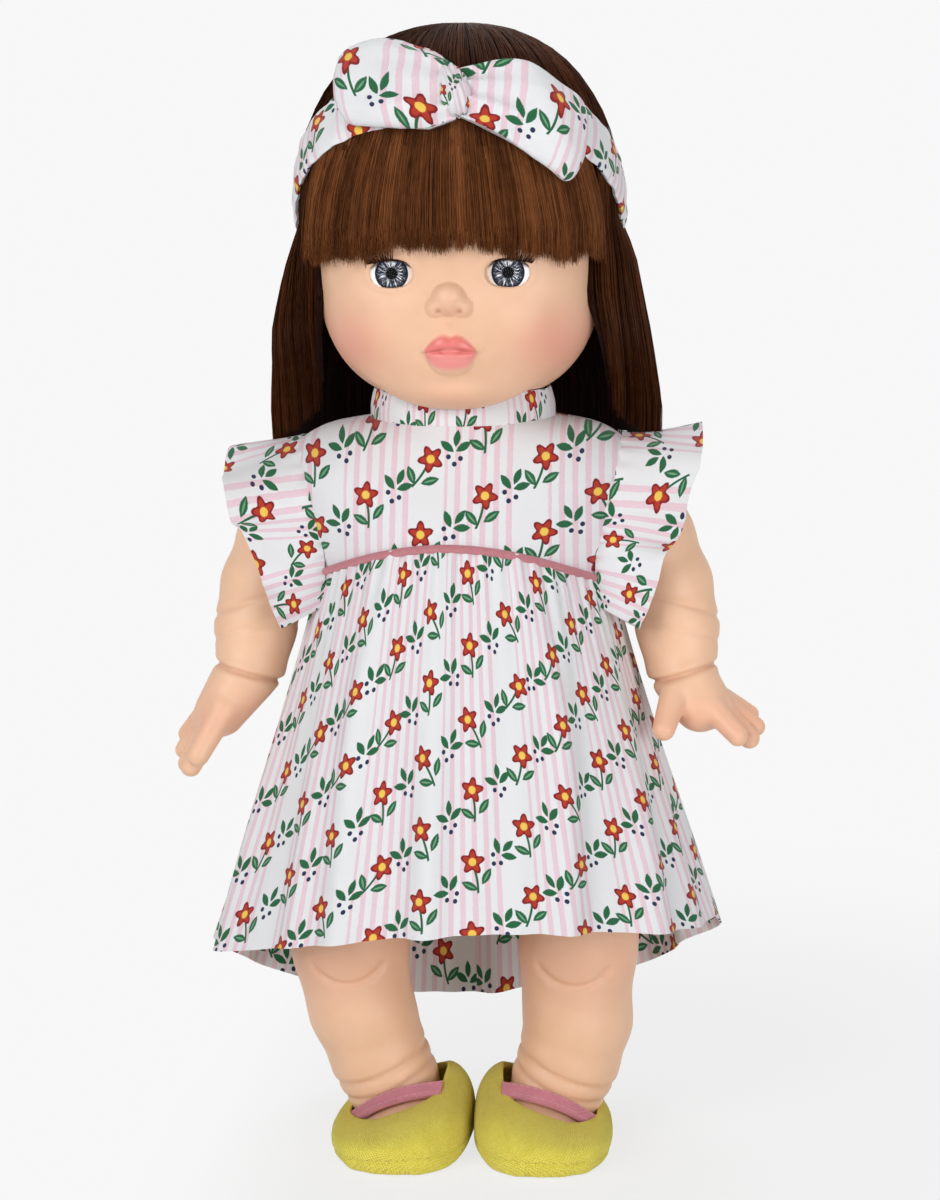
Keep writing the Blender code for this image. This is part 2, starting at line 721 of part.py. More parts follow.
def snap_stem(name, sign, seat, height, root):
    """The stem and flange that hold a limb in the torso's side."""
    inside = seat - VINYL_WALL - RUN
    stem_start = (sign * (inside - FLANGE_THICKNESS / 2), 0, height)
    stem = cylinder(f"{name}_stem", stem_start, (sign * root, 0, height), STEM_RADIUS)
    flange = cylinder(
        f"{name}_flange",
        (sign * (inside - FLANGE_THICKNESS), 0, height),
        (sign * inside, 0, height),
        FLANGE_RADIUS * 0.85,
        end_radius=FLANGE_RADIUS,
    )
    return stem, flange


def limb_rings(points):
    """Rings along a limb's centre line; points are (centre, radius across, radius deep)."""
    rings = []
    for index, (centre, wide, deep) in enumerate(points):
        before = Vector(points[max(index - 1, 0)][0])
        after = Vector(points[min(index + 1, len(points) - 1)][0])
        rings.append(ring(centre, after - before, wide, deep))
    return rings


def finger(name, start, direction, length, radius):
    direction = Vector(direction).normalized()
    start = Vector(start)
    shares = ((0.0, 0.85), (0.35, 1.0), (0.7, 0.95), (0.92, 0.7), (1.0, 0.3))
    rings = []
    for along, wide in shares:
        rings.append(ring(start + direction * length * along, direction, radius * wide, radius * wide))
    return loft(name, rings, segments=6)


def arm(side, sign):
    axis_x = SHOULDER_SEAT + GAP + SHOULDER_BALL

    def at(along, out, ahead):
        return Vector((sign * (axis_x + out), ahead, SHOULDER_HEIGHT - along))

    elbow = at(0.62 * ARM_LENGTH, 0.86 * ARM_SPREAD, -0.22 * ARM_BEND)
    wrist = at(ARM_LENGTH, ARM_SPREAD, -ARM_BEND)
    fore_arm = at(0.80 * ARM_LENGTH, 0.95 * ARM_SPREAD, -0.55 * ARM_BEND)
    points = [
        (at(0, 0.03 * ARM_SPREAD, 0), SHOULDER_BALL * 0.80, SHOULDER_BALL * 0.80),
        (at(0.22 * ARM_LENGTH, 0.44 * ARM_SPREAD, 0), UPPER_ARM_RADIUS, UPPER_ARM_RADIUS),
        (at(0.45 * ARM_LENGTH, 0.74 * ARM_SPREAD, -0.11 * ARM_BEND), UPPER_ARM_RADIUS, UPPER_ARM_RADIUS),
        (elbow, ELBOW_RADIUS, ELBOW_RADIUS),
        (fore_arm, ELBOW_RADIUS * 0.94, ELBOW_RADIUS * 0.94),
        (wrist, WRIST_RADIUS, WRIST_RADIUS * 0.92),
    ]
    limb = loft(f"{side}_arm", limb_rings(points), VINYL, segments=12)
    ball = ellipsoid(f"{side}_shoulder_ball", at(0, 0, 0), (SHOULDER_BALL,) * 3, segments=14, rings=9)
    hand_turn = Matrix.Rotation(math.radians(-sign * HAND_TURN), 4, "Y")
    palm_centre = wrist + Vector((sign * PALM_OUT, -PALM_OUT, -2 * PALM_OUT))
    palm = ellipsoid(f"{side}_palm", palm_centre, PALM_RADII, segments=10, rings=6, turn=hand_turn)
    join(limb, ball, palm)
    aim = Vector((sign * HAND_AIM[0], HAND_AIM[1], HAND_AIM[2])).normalized()
    across = aim.cross(Vector((0, -1, 0))).normalized()
    for number in range(FINGER_COUNT):
        step = number - (FINGER_COUNT - 1) / 2
        start = palm_centre + aim * FINGER_ROOT + across * step * FINGER_PITCH
        fan = aim + across * step * FINGER_FAN
        long = FINGER_LENGTH + FINGER_ROOT
        join(limb, finger(f"{side}_finger_{number}", start, fan, long, FINGER_RADIUS))
    thumb_start = palm_centre + Vector((-sign * FINGER_PITCH, -0.6 * FINGER_PITCH, 0.4 * FINGER_PITCH))
    thumb_aim = Vector((-sign * THUMB_AIM[0], THUMB_AIM[1], THUMB_AIM[2]))
    join(limb, finger(f"{side}_thumb", thumb_start, thumb_aim, FINGER_LENGTH, FINGER_RADIUS))
    join(limb, *snap_stem(f"{side}_arm", sign, SHOULDER_SEAT, SHOULDER_HEIGHT, axis_x))
    core_points = [
        (at(0.36 * ARM_LENGTH, 0.24 * ARM_SPREAD, 0), ARM_BORE * 0.6, ARM_BORE * 0.6),
        (elbow, ARM_BORE, ARM_BORE),
        (wrist, ARM_BORE * 0.5, ARM_BORE * 0.5),
    ]
    core = loft(f"{side}_arm_core", limb_rings(core_points), segments=10)
    duct = 0.45 * STEM_RADIUS
    vent_start = Vector((0, 0, SHOULDER_HEIGHT))
    vent = cylinder(f"{side}_arm_vent", vent_start, at(0, 0.3 * ARM_SPREAD, 0), duct, segments=12)
    drop_start = at(-0.05 * ARM_LENGTH, 0.18 * ARM_SPREAD, 0)
    drop = cylinder(f"{side}_arm_drop", drop_start, elbow, duct, segments=12)
    return cut(limb, vent, drop, core)


def foot_turn(sign):
    return Matrix.Rotation(math.radians(sign * TOE_OUT), 4, "Z")


def foot_centre(sign):
    ankle = Vector((sign * ANKLE_SPREAD, ANKLE_BACK, 0))
    widest = SOLE_THICKNESS + 2 * GAP + FOOT_HEIGHT * WIDEST_SHARE
    return ankle + foot_turn(sign) @ Vector((-sign * FOOT_INWARD, -FOOT_FORWARD, widest))


def foot_radii(grow):
    return (FOOT_HALF_WIDTH + grow, FOOT_HALF_LENGTH + grow, FOOT_HEIGHT * (1 - WIDEST_SHARE) + grow)


def foot_body(name, sign, grow, floor, finish=None, segments=18, rings=10):
    """The rounded foot, grown outwards, with a flat underside at floor."""
    centre, turn = foot_centre(sign), foot_turn(sign)
    body = ellipsoid(name, centre, foot_radii(grow), finish, segments=segments, rings=rings, turn=turn)
    return cut(body, box(f"{name}_ground", (-1, -1, -1), (1, 1, floor)))


def leg(side, sign):
    inner_face = HIP_SEAT + GAP
    hip_x = inner_face + THIGH_RADIUS * 0.94

    def at(height, across, ahead):
        return Vector((sign * across, ahead, height))

    ankle = at(ANKLE_HEIGHT, ANKLE_SPREAD, ANKLE_BACK)
    knee_height = HIP_HEIGHT * 0.52
    points = [
        (at(HIP_HEIGHT, hip_x, 0), THIGH_RADIUS * 0.97, THIGH_RADIUS * 0.97),
        (at(HIP_HEIGHT * 0.80, hip_x - 0.2 * CALF_INWARD, 0), THIGH_RADIUS, THIGH_RADIUS),
        (at(knee_height, hip_x - 0.7 * CALF_INWARD, -0.2 * CALF_INWARD), KNEE_RADIUS, KNEE_RADIUS),
        (at(HIP_HEIGHT * 0.38, hip_x - CALF_INWARD, 0), CALF_RADIUS, CALF_RADIUS),
        (ankle, ANKLE_RADIUS, ANKLE_RADIUS),
        (at(ANKLE_HEIGHT * 0.55, ANKLE_SPREAD, ANKLE_BACK), ANKLE_RADIUS * 1.02, ANKLE_RADIUS * 1.02),
    ]
    limb = loft(f"{side}_leg", limb_rings(points), VINYL, segments=14)
    top = ellipsoid(f"{side}_hip_ball", at(HIP_HEIGHT, hip_x, 0), (THIGH_RADIUS,) * 3, segments=14, rings=8)
    join(limb, top, foot_body(f"{side}_foot", sign, 0, SOLE_THICKNESS + 2 * GAP))
    reach = 5 * THIGH_RADIUS
    face_start = (-sign * reach, -reach, HIP_HEIGHT - 1.6 * THIGH_RADIUS)
    cut(limb, box(f"{side}_hip_face", face_start, (sign * inner_face, reach, 1)))
    join(limb, *snap_stem(f"{side}_leg", sign, HIP_SEAT, HIP_HEIGHT, hip_x))
    core_points = [
        (at(1.034 * HIP_HEIGHT, hip_x, 0), LEG_BORE, LEG_BORE),
        (at(knee_height, hip_x - 0.7 * CALF_INWARD, 0), LEG_BORE, LEG_BORE),
        (at(ANKLE_HEIGHT, ANKLE_SPREAD, 0.4 * CALF_INWARD), LEG_BORE * 0.6, LEG_BORE * 0.6),
    ]
    core = loft(f"{side}_leg_core", limb_rings(core_points), segments=12)
    vent_ends = (0, 0, HIP_HEIGHT), at(HIP_HEIGHT, hip_x, 0)
    vent = cylinder(f"{side}_leg_vent", *vent_ends, 0.45 * STEM_RADIUS, segments=12)
    return cut(limb, vent, core)


# Shoes


def strap_point(sign):
    """Places the strap over the instep, u along it and v across its width."""
    centre, turn, radii = foot_centre(sign), foot_turn(sign), foot_radii(2 * GAP)

    def where(u, v):
        angle = math.radians(STRAP_END_ANGLE + (180 - 2 * STRAP_END_ANGLE) * u)
        ahead = STRAP_FORWARD - FOOT_FORWARD + (v - 0.5) * STRAP_WIDTH
        narrow = math.sqrt(1 - (ahead / radii[1]) ** 2)
        across = radii[0] * narrow * math.cos(angle)
        return centre + turn @ Vector((across, -ahead, radii[2] * narrow * math.sin(angle)))

    return where


def shoe(side, sign):
    floor = SOLE_THICKNESS + GAP
    upper = foot_body(f"{side}_shoe_upper", sign, GAP + SHOE_WALL, floor, LINEN, segments=20, rings=12)
    cut(upper, foot_body(f"{side}_shoe_hollow", sign, GAP, floor - FOOT_HEIGHT))
    middle = foot_centre(sign)
    flare = SHOE_OPENING_FLARE
    opening = cylinder(f"{side}_shoe_opening", (0, 0, 0), (0, 0, 1), 1, segments=24, end_radius=flare)
    for vert in opening.data.vertices:
        size = math.hypot(vert.co.x, vert.co.y)
        vert.co.x = size * signed_power(vert.co.x / size, 0.5)
        vert.co.y = size * signed_power(vert.co.y / size, 0.5)
    mouth = Matrix.Diagonal((SHOE_OPENING_HALF_WIDTH, SHOE_OPENING_HALF_LENGTH, SHOE_OPENING_LENGTH, 1))
    back = foot_turn(sign) @ Vector((0, SHOE_OPENING_BACK, 0))
    low = Vector((middle.x, middle.y, SHOE_OPENING_HEIGHT)) + back
    opening.data.transform(Matrix.Translation(low) @ foot_turn(sign) @ mouth)
    ankle = Vector((sign * ANKLE_SPREAD, ANKLE_BACK, SHOE_OPENING_HEIGHT))
    above = ankle + Vector((0, 0, SHOE_OPENING_LENGTH))
    ankle_room = cylinder(f"{side}_ankle_room", ankle, above, ANKLE_RADIUS * 1.05 + RUN, segments=20)
    cut(upper, opening, ankle_room)
    strap = sheet(f"{side}_shoe_strap", 10, 1, strap_point(sign), STRAP_THICKNESS, middle, STRAP)
    half_width, half_length, _ = foot_radii(GAP + SHOE_WALL)
    sole = cylinder(f"{side}_shoe_sole", (0, 0, 0), (0, 0, SOLE_THICKNESS), 1, SOLE)
    outline = Matrix.Diagonal((half_width * SOLE_SHARE, half_length * SOLE_SHARE, 1, 1))
    sole.data.transform(Matrix.Translation((middle.x, middle.y, 0)) @ foot_turn(sign) @ outline)
    return upper, strap, sole


# Dress


def collar_base():
    return NECK_SEAT - COLLAR_DROP - COLLAR_HEIGHT


def mix_stations(stations, share):
    """Values at a share along stations, each a share and its values."""
    for (start, above), (end, below) in zip(stations, stations[1:]):
        if share <= end:
            break
    step = max(0.0, min(1.0, (share - start) / (end - start)))
    return [first + (second - first) * step for first, second in zip(above, below)]


def dress_sizes():
    """Half width, front depth and back depth of the bodice, at shares of the way from collar to waist."""
    wide, waist = SHOULDER_HALF_WIDTH, (WAIST_HALF_WIDTH, WAIST_FRONT_DEPTH, WAIST_BACK_DEPTH)
    return (
        (0.00, (COLLAR_SEAM_SHARE * COLLAR_RADIUS,) * 3),
        (0.18, (0.82 * wide, 0.71 * WAIST_FRONT_DEPTH, 0.82 * WAIST_BACK_DEPTH)),
        (0.36, (wide, 0.82 * WAIST_FRONT_DEPTH, 0.93 * WAIST_BACK_DEPTH)),
        (0.66, (0.975 * wide, 0.93 * WAIST_FRONT_DEPTH, 0.98 * WAIST_BACK_DEPTH)),
        (1.00, waist),
    )


def dress_drops():
    """Drops of the side, front and back of the bodice below the neck seat, at the same shares."""
    top = COLLAR_DROP + COLLAR_HEIGHT + CLOTH / 2 + 2 * GAP
    drop = SHOULDER_DROP
    return (
        (0.00, (top, top, top)),
        (0.18, (0.36 * drop, 0.48 * drop, 0.46 * drop)),
        (0.36, (0.535 * drop, 0.76 * drop, 0.76 * drop)),
        (0.66, (1.03 * drop, 1.03 * drop, 1.18 * drop)),
        (1.00, (WAIST_SIDE_DROP, WAIST_FRONT_DROP, WAIST_BACK_DROP)),
    )


def dress_point(angle, down, grow=0.0):
    """A point of the bodice, down from 0 at the collar to 1 at the waist; angle 0 is the front."""
    across, ahead = math.sin(angle), math.cos(angle)
    half_width, front, back = mix_stations(dress_sizes(), down)
    side_drop, front_drop, back_drop = mix_stations(dress_drops(), down)
    depth, middle_drop = (front, front_drop) if ahead > 0 else (back, back_drop)
    drop = side_drop * across**2 + middle_drop * ahead**2 + WAIST_LEAN * half_width * across * down
    exponent = ease(2.0, BODICE_EXPONENT, down / 0.4)
    full = (abs(across) ** exponent + abs(ahead) ** exponent) ** (-1 / exponent)
    return Vector(((half_width + grow) * across * full, -(depth + grow) * ahead * full, NECK_SEAT - drop))


def share_at(height, column):
    """The share of the way down the bodice's side (0), front (1) or back (2) at a height."""
    stations = [(drops[column], (share,)) for share, drops in dress_drops()]
    return mix_stations(stations, NECK_SEAT - height)[0]


def dress_side(depth, height):
    """Distance of the bodice's side from the middle, at a depth and a height."""
    half_width, front, back = mix_stations(dress_sizes(), share_at(height, 0))
    share = abs(depth) / (back if depth > 0 else front)
    return half_width * max(0.0, 1 - share**BODICE_EXPONENT) ** (1 / BODICE_EXPONENT)


def bodice():
    """The top of the dress, from the collar seam over the shoulders to the high waist."""
    lift = PIPING_RADIUS + 2 * GAP

    def where(u, v):
        return dress_point(2 * math.pi * u, v, -CLOTH / 2) + Vector((0, 0, lift * v**3))

    middle = Vector((0, 0, SHOULDER_HEIGHT))
    made = sheet("dress_bodice", 40, 8, where, CLOTH, middle, PRINT, closed=True)
    for side, sign in SIDES:
        ends = (0, 0, 0.6 * SHOULDER_SEAT), (0, 0, 3 * SHOULDER_SEAT)
        hole = cylinder(f"{side}_armhole", *ends, 1, segments=24)
        hole.data.transform(Matrix.Diagonal((ARMHOLE_HALF_HEIGHT, ARMHOLE_HALF_DEPTH, sign, 1)))
        hole.data.transform(Matrix.Rotation(math.radians(90), 4, "Y"))
        hole.data.transform(Matrix.Translation((0, 0, SHOULDER_HEIGHT - ARMHOLE_DROP)))
        if sign < 0:
            hole.data.flip_normals()
        cut(made, hole)
    return made


def collar():
    def where(u, v):
        angle = 2 * math.pi * u
        height = collar_base() + COLLAR_HEIGHT * (1 - v)
        return Vector((COLLAR_RADIUS * math.sin(angle), -COLLAR_RADIUS * math.cos(angle), height))

    return sheet("dress_collar", 32, 1, where, CLOTH, Vector((0, 0, collar_base())), PRINT, closed=True)


def piping():
    """A round cord sewn into the waist seam."""
    curve = bpy.data.curves.new("waist_piping", "CURVE")
    curve.dimensions = "3D"
    curve.bevel_depth = PIPING_RADIUS
    curve.bevel_resolution = 0
    line = curve.splines.new("POLY")
    count = 48
    line.points.add(count - 1)
    line.use_cyclic_u = True
    for number, point in enumerate(line.points):
        point.co = (*dress_point(2 * math.pi * number / count, 1, CLOTH), 1)
    curve.materials.append(PIPING)
    made = bpy.data.objects.new("waist_piping", curve)
    PARTS.objects.link(made)
    made.parent = FRAME
    return made


def hem_point(angle):
    """The lower edge of the skirt: short in front, long behind, and a little askew."""
    across, ahead = math.sin(angle), math.cos(angle)
    depth = HEM_FRONT_DEPTH if ahead > 0 else HEM_BACK_DEPTH
    if ahead > 0:
        drop = HEM_SIDE_DROP + (HEM_FRONT_DROP - HEM_SIDE_DROP) * ahead**2
    else:
        drop = HEM_SIDE_DROP + (HEM_BACK_DROP - HEM_SIDE_DROP) * abs(ahead) ** HEM_BACK_EXPONENT
    aside = HEM_HALF_WIDTH * across
    return Vector((HEM_SHIFT + aside, -depth * ahead, NECK_SEAT - drop + HEM_LEAN * aside))


def skirt():
    """A gathered skirt that hangs in soft folds, short in front and long behind."""

    def where(u, v):
        angle = 2 * math.pi * u
        across, ahead = math.sin(angle), math.cos(angle)
        top = dress_point(angle, 1, -CLOTH / 2) - Vector((0, 0, PIPING_RADIUS + 2 * GAP))
        hem = hem_point(angle)
        spread = v ** (SKIRT_FRONT_SPREAD + (SKIRT_SIDE_SPREAD - SKIRT_FRONT_SPREAD) * across**2)
        bend = angle + SKIRT_FOLD_BEND * v * math.sin(2 * angle)
        fold = sum(deep * math.cos(count * bend + start) for deep, count, start in SKIRT_FOLDS)
        fold *= (0.45 + 0.55 * across**2) * ease(0.12, 1, v / 0.9)
        place_x = top.x + (hem.x - top.x) * spread + 0.9 * across * fold
        place_y = top.y + (hem.y - top.y) * spread - ahead * fold
        return Vector((place_x, place_y, top.z + (hem.z - top.z) * v))

    middle = Vector((0, 0, HIP_HEIGHT))
    return sheet("dress_skirt", 70, 6, where, CLOTH, middle, PRINT, closed=True)


def ruffle_seam(u):
    """Depth and height of the frill's seam: up the front edge, over the shoulder and down the back."""
    if u < RUFFLE_STRAIGHT:
        return -RUFFLE_SEAM_DEPTH, SHOULDER_HEIGHT - RUFFLE_SEAM_LOW * (1 - u / RUFFLE_STRAIGHT)
    if u > 1 - RUFFLE_STRAIGHT:
        return RUFFLE_SEAM_DEPTH, SHOULDER_HEIGHT - RUFFLE_SEAM_LOW * (1 - (1 - u) / RUFFLE_STRAIGHT)
    angle = math.pi * (u - RUFFLE_STRAIGHT) / (1 - 2 * RUFFLE_STRAIGHT)
    return -RUFFLE_SEAM_DEPTH * math.cos(angle), SHOULDER_HEIGHT + RUFFLE_SEAM_TOP * math.sin(angle)


def ruffle(side, sign):
    """A flared frill sewn on round the armhole, open under the arm and standing out over the shoulder."""
    middle = Vector((sign * SHOULDER_SEAT, 0, SHOULDER_HEIGHT))
    over_piping = 3 * PIPING_RADIUS

    def where(u, v):
        depth, level = ruffle_seam(u)
        low = (SHOULDER_HEIGHT - level) / RUFFLE_SEAM_LOW
        seam = dress_side(depth, level) + CLOTH + 3 * GAP + ease(0, over_piping, 2 * low)
        crest = math.sin(math.pi * u)
        reach = RUFFLE_REACH * (RUFFLE_END_SHARE + (1 - RUFFLE_END_SHARE) * crest) * v
        wave = RUFFLE_WAVE_DEPTH * v * math.cos(2 * math.pi * RUFFLE_WAVES * u)
        spread = 1 + (RUFFLE_FLARE * reach + wave) / RUFFLE_SEAM_DEPTH
        fall = RUFFLE_DROOP * v * crest + RUFFLE_END_DROOP * v * (1 - crest) ** 1.5
        return Vector((sign * (seam + reach), depth * spread, level - fall))

    return sheet(f"{side}_ruffle", 28, 4, where, CLOTH, middle, PRINT)


def placket():
    """The overlapped back opening of the bodice, with its buttons."""
    top = NECK_SEAT - PLACKET_TOP_DROP
    low = NECK_SEAT - WAIST_BACK_DROP + PLACKET_LOW_RISE
    half = PLACKET_WIDTH / 2

    def depth(height):
        return dress_point(math.pi, share_at(height, 2), CLOTH / 2 + 2 * GAP).y

    def where(u, v):
        height = top + (low - top) * v
        return Vector((half * (2 * u - 1), depth(height), height))

    made = sheet("back_placket", 2, 6, where, CLOTH, Vector((0, 0, low)), PRINT)
    for number in range(BUTTON_COUNT):
        height = top + (low - top) * (number + 0.7) / (BUTTON_COUNT + 0.4)
        start = Vector((0, depth(height) + CLOTH + 3 * GAP, height))
        end = start + Vector((0, BUTTON_THICKNESS, 0))
        cylinder(f"back_button_{number + 1}", start, end, BUTTON_RADIUS, BUTTON, segments=18)
    return made


clear_scene()
PARTS = collection("vinyl_doll")
CUTTERS = collection("cutters")
FRAME = bpy.data.objects.new("doll_frame", None)
FRAME.location = (0, FRAME_SHIFT, 0)
PARTS.objects.link(FRAME)

VINYL = material("vinyl_skin", (0.80, 0.50, 0.33), 0.45)
EYE_WHITE = material("eye_white", (0.90, 0.90, 0.92), 0.15)
IRIS = material("iris_print", (0.20, 0.23, 0.32), 0.25)
CLEAR = material("clear_dome", (0.95, 0.97, 1.0), 0.03, alpha=0.25)
LASH = material("lash_hair", (0.03, 0.015, 0.01), 0.5)
STEEL = material("weight_steel", (0.50, 0.50, 0.52), 0.35, metallic=1.0)
CASE = material("eye_case_plastic", (0.75, 0.74, 0.70), 0.5)
HAIR = material("rooted_hair", (0.055, 0.022, 0.012), 0.38)
PRINT = material("printed_cotton", (0.88, 0.80, 0.82), 0.85)
PIPING = material("piping_cord", (0.62, 0.24, 0.27), 0.7)
BUTTON = material("shirt_button", (0.86, 0.84, 0.80), 0.3)
LINEN = material("mustard_linen", (0.48, 0.40, 0.07), 0.9)
STRAP = material("strap_felt", (0.66, 0.26, 0.34), 0.85)
SOLE = material("sole_cloth", (0.42, 0.35, 0.08), 0.9)

torso()
head()
for SIDE, SIGN in SIDES:
    eye(SIDE, SIGN)
    arm(SIDE, SIGN)
    leg(SIDE, SIGN)
    shoe(SIDE, SIGN)
    ruffle(SIDE, SIGN)
hair_crown()
hair_fringe()
hair_fall("hair_right", FRINGE_HALF_ANGLE + FRINGE_PARTING, SIDE_FALL_END_ANGLE, SIDE_FALL_DROP, 8)
hair_fall("hair_left", -SIDE_FALL_END_ANGLE, -FRINGE_HALF_ANGLE - FRINGE_PARTING, SIDE_FALL_DROP, 8)
hair_fall("hair_back", SIDE_FALL_END_ANGLE + 0.6, 360 - SIDE_FALL_END_ANGLE - 0.6, BACK_FALL_DROP, 12)
headband()
bow()
bodice()
collar()
piping()
skirt()
placket()
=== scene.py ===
"""The finish of a dressed vinyl doll, laid over its frame of bodies and joints.

Shapes are laid out in millimetres about the doll's own upright axis, with the face towards -Y,
and every finished mesh is in metres in the frame's own place.
"""

import json
import math

import bmesh
import bpy
import numpy as np
from mathutils import Matrix, Vector

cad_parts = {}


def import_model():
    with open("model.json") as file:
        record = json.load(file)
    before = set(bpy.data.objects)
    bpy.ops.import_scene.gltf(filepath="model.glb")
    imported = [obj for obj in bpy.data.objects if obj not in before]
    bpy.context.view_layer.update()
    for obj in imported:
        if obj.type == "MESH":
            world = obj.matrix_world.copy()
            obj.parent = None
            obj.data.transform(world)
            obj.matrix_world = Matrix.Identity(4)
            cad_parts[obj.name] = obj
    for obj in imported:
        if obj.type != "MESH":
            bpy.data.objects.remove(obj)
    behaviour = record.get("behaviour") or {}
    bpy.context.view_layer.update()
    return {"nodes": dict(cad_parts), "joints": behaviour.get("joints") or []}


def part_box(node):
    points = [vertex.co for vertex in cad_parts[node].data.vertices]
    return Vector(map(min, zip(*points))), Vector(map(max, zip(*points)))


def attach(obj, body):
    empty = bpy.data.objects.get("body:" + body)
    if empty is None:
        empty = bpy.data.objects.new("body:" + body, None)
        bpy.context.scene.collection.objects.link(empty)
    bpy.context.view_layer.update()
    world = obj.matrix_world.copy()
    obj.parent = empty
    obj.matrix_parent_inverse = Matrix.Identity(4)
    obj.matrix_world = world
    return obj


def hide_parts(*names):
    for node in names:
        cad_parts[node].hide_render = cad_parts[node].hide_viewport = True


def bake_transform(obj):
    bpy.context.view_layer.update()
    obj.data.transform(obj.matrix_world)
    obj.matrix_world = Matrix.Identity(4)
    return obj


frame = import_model()

MM = 0.001
DEGREE = math.pi / 180
JOINTS = {joint["name"]: joint for joint in frame["joints"]}
AXIS = np.array(JOINTS["neck_turn"]["pos_m"]) * (0, 1, 0)
SIDES = (("left", -1), ("right", 1))


# Shader sockets that take part in Python arithmetic


class Wire:
    """One socket of a finish's nodes; sums and products of wires add Math nodes."""

    def __init__(self, finish, socket):
        self.finish = finish
        self.socket = socket

    def math(self, operation, *values):
        return self.finish.node("ShaderNodeMath", {"operation": operation}, *values)

    def __add__(self, other):
        return self.math("ADD", self, other)

    def __radd__(self, other):
        return self.math("ADD", other, self)

    def __sub__(self, other):
        return self.math("SUBTRACT", self, other)

    def __rsub__(self, other):
        return self.math("SUBTRACT", other, self)

    def __mul__(self, other):
        return self.math("MULTIPLY", self, other)

    def __rmul__(self, other):
        return self.math("MULTIPLY", other, self)

    def __truediv__(self, other):
        return self.math("DIVIDE", self, other)

    def __rtruediv__(self, other):
        return self.math("DIVIDE", other, self)

    def __pow__(self, other):
        return self.math("POWER", self, other)

    def floor(self):
        return self.math("FLOOR", self)

    def sine(self):
        return self.math("SINE", self)

    def cosine(self):
        return self.math("COSINE", self)

    def size(self):
        return self.math("ABSOLUTE", self)

    def least(self, other):
        return self.math("MINIMUM", self, other)

    def most(self, other):
        return self.math("MAXIMUM", self, other)

    def rise(self, start, end):
        """0 before start, 1 after end, with a soft step between them."""
        settings = {"interpolation_type": "SMOOTHSTEP"}
        return self.finish.node("ShaderNodeMapRange", settings, self, start, end, 0.0, 1.0)


class Finish:
    """A material whose nodes are added one call at a time round a Principled BSDF."""

    def __init__(self, name, **constants):
        self.material = bpy.data.materials.new(name)
        self.material.use_nodes = True
        self.tree = self.material.node_tree
        self.surface = self.tree.nodes["Principled BSDF"]
        for socket, value in constants.items():
            self.surface.inputs[socket.replace("_", " ")].default_value = value

    def feed(self, socket, value):
        """Links a wire to a socket, or sets the socket's value."""
        if isinstance(value, Wire):
            self.tree.links.new(value.socket, socket)
        elif value is not None:
            socket.default_value = value

    def node(self, kind, settings=None, *values, output=0, **named):
        """Any node: its settings first, then its inputs by place or by name."""
        made = self.tree.nodes.new(kind)
        for key, value in (settings or {}).items():
            setattr(made, key, value)
        for place, value in enumerate(values):
            self.feed(made.inputs[place], value)
        for name, value in named.items():
            self.feed(made.inputs[name.replace("_", " ")], value)
        return Wire(self, made.outputs[output])

    def mix(self, share, first, second):
        """A colour between two, as RGB tuples or wires."""
        sides = [value if isinstance(value, Wire) else (*value, 1.0) for value in (first, second)]
        settings = {"data_type": "RGBA"}
        values = [share, None, None, None, None, None, *sides]
        return self.node("ShaderNodeMix", settings, *values, output=2)

    def noise(self, vector, scale, detail):
        return self.node("ShaderNodeTexNoise", {}, Vector=vector, Scale=scale, Detail=detail)

    def place(self):
        """Object coordinates in millimetres."""
        where = self.node("ShaderNodeTexCoord", {}, output=3)
        return self.node("ShaderNodeVectorMath", {"operation": "SCALE"}, where, Scale=1 / MM)

    def cloth_place(self):
        """The cloth's own flat coordinates, in millimetres."""
        return self.node("ShaderNodeUVMap", {"uv_map": "flat"})

    def parts(self, vector):
        """The three numbers of a vector."""
        split = self.node("ShaderNodeSeparateXYZ", {}, vector)
        sockets = split.socket.node.outputs
        return [Wire(self, socket) for socket in sockets]

    def mark(self, name):
        """A number that the mesh carries at its points."""
        return self.node("ShaderNodeAttribute", {"attribute_name": name}, output=2)

    def glow(self, colour, strength):
        """A weak glow in the surface's own colour."""
        self.surface.inputs["Emission Strength"].default_value = strength
        self.feed(self.surface.inputs["Emission Color"], colour)

    def cover(self, shader):
        """Puts another shader in the surface's place."""
        self.tree.links.new(shader.socket, self.tree.nodes["Material Output"].inputs["Surface"])

    def set(self, colour, roughness, height=None, relief=0.0, reach=1.0):
        """Feeds the surface; height goes through a Bump of that relief, in millimetres."""
        self.feed(self.surface.inputs["Base Color"], colour)
        self.feed(self.surface.inputs["Roughness"], roughness)
        if height is not None:
            bump = self.node("ShaderNodeBump", {}, Strength=reach, Distance=relief * MM, Height=height)
            self.feed(self.surface.inputs["Normal"], bump)
        return self.material


# Finishes


def vinyl_skin():
    """Satin rotocast vinyl, with airbrushed blush, painted lips and painted shade where the mesh marks them.
    """
    finish = Finish("vinyl_skin", Subsurface_Weight=0.08, Subsurface_Scale=0.004)
    finish.surface.inputs["Subsurface Radius"].default_value = (1.0, 0.4, 0.25)
    place = finish.place()
    mottle = finish.noise(place, 0.09, 3.0)
    grain = finish.noise(place, 2.6, 2.0)
    tone = finish.mix(mottle.rise(0.3, 0.7), (0.82, 0.505, 0.325), (0.86, 0.540, 0.355))
    flushed = finish.mix(finish.mark("blush"), tone, (0.82, 0.33, 0.24))
    lips = finish.mix(finish.mark("lower"), (0.80, 0.20, 0.175), (0.88, 0.305, 0.275))
    painted = finish.mix(finish.mark("lips"), flushed, lips)
    # Painted shade: the shade mark darkens the skin towards a deep warm brown.
    colour = finish.mix(finish.mark("shade"), painted, (0.30, 0.085, 0.06))
    rough = 0.43 + 0.08 * mottle - 0.18 * finish.mark("lips")
    return finish.set(colour, rough, grain, relief=0.012)


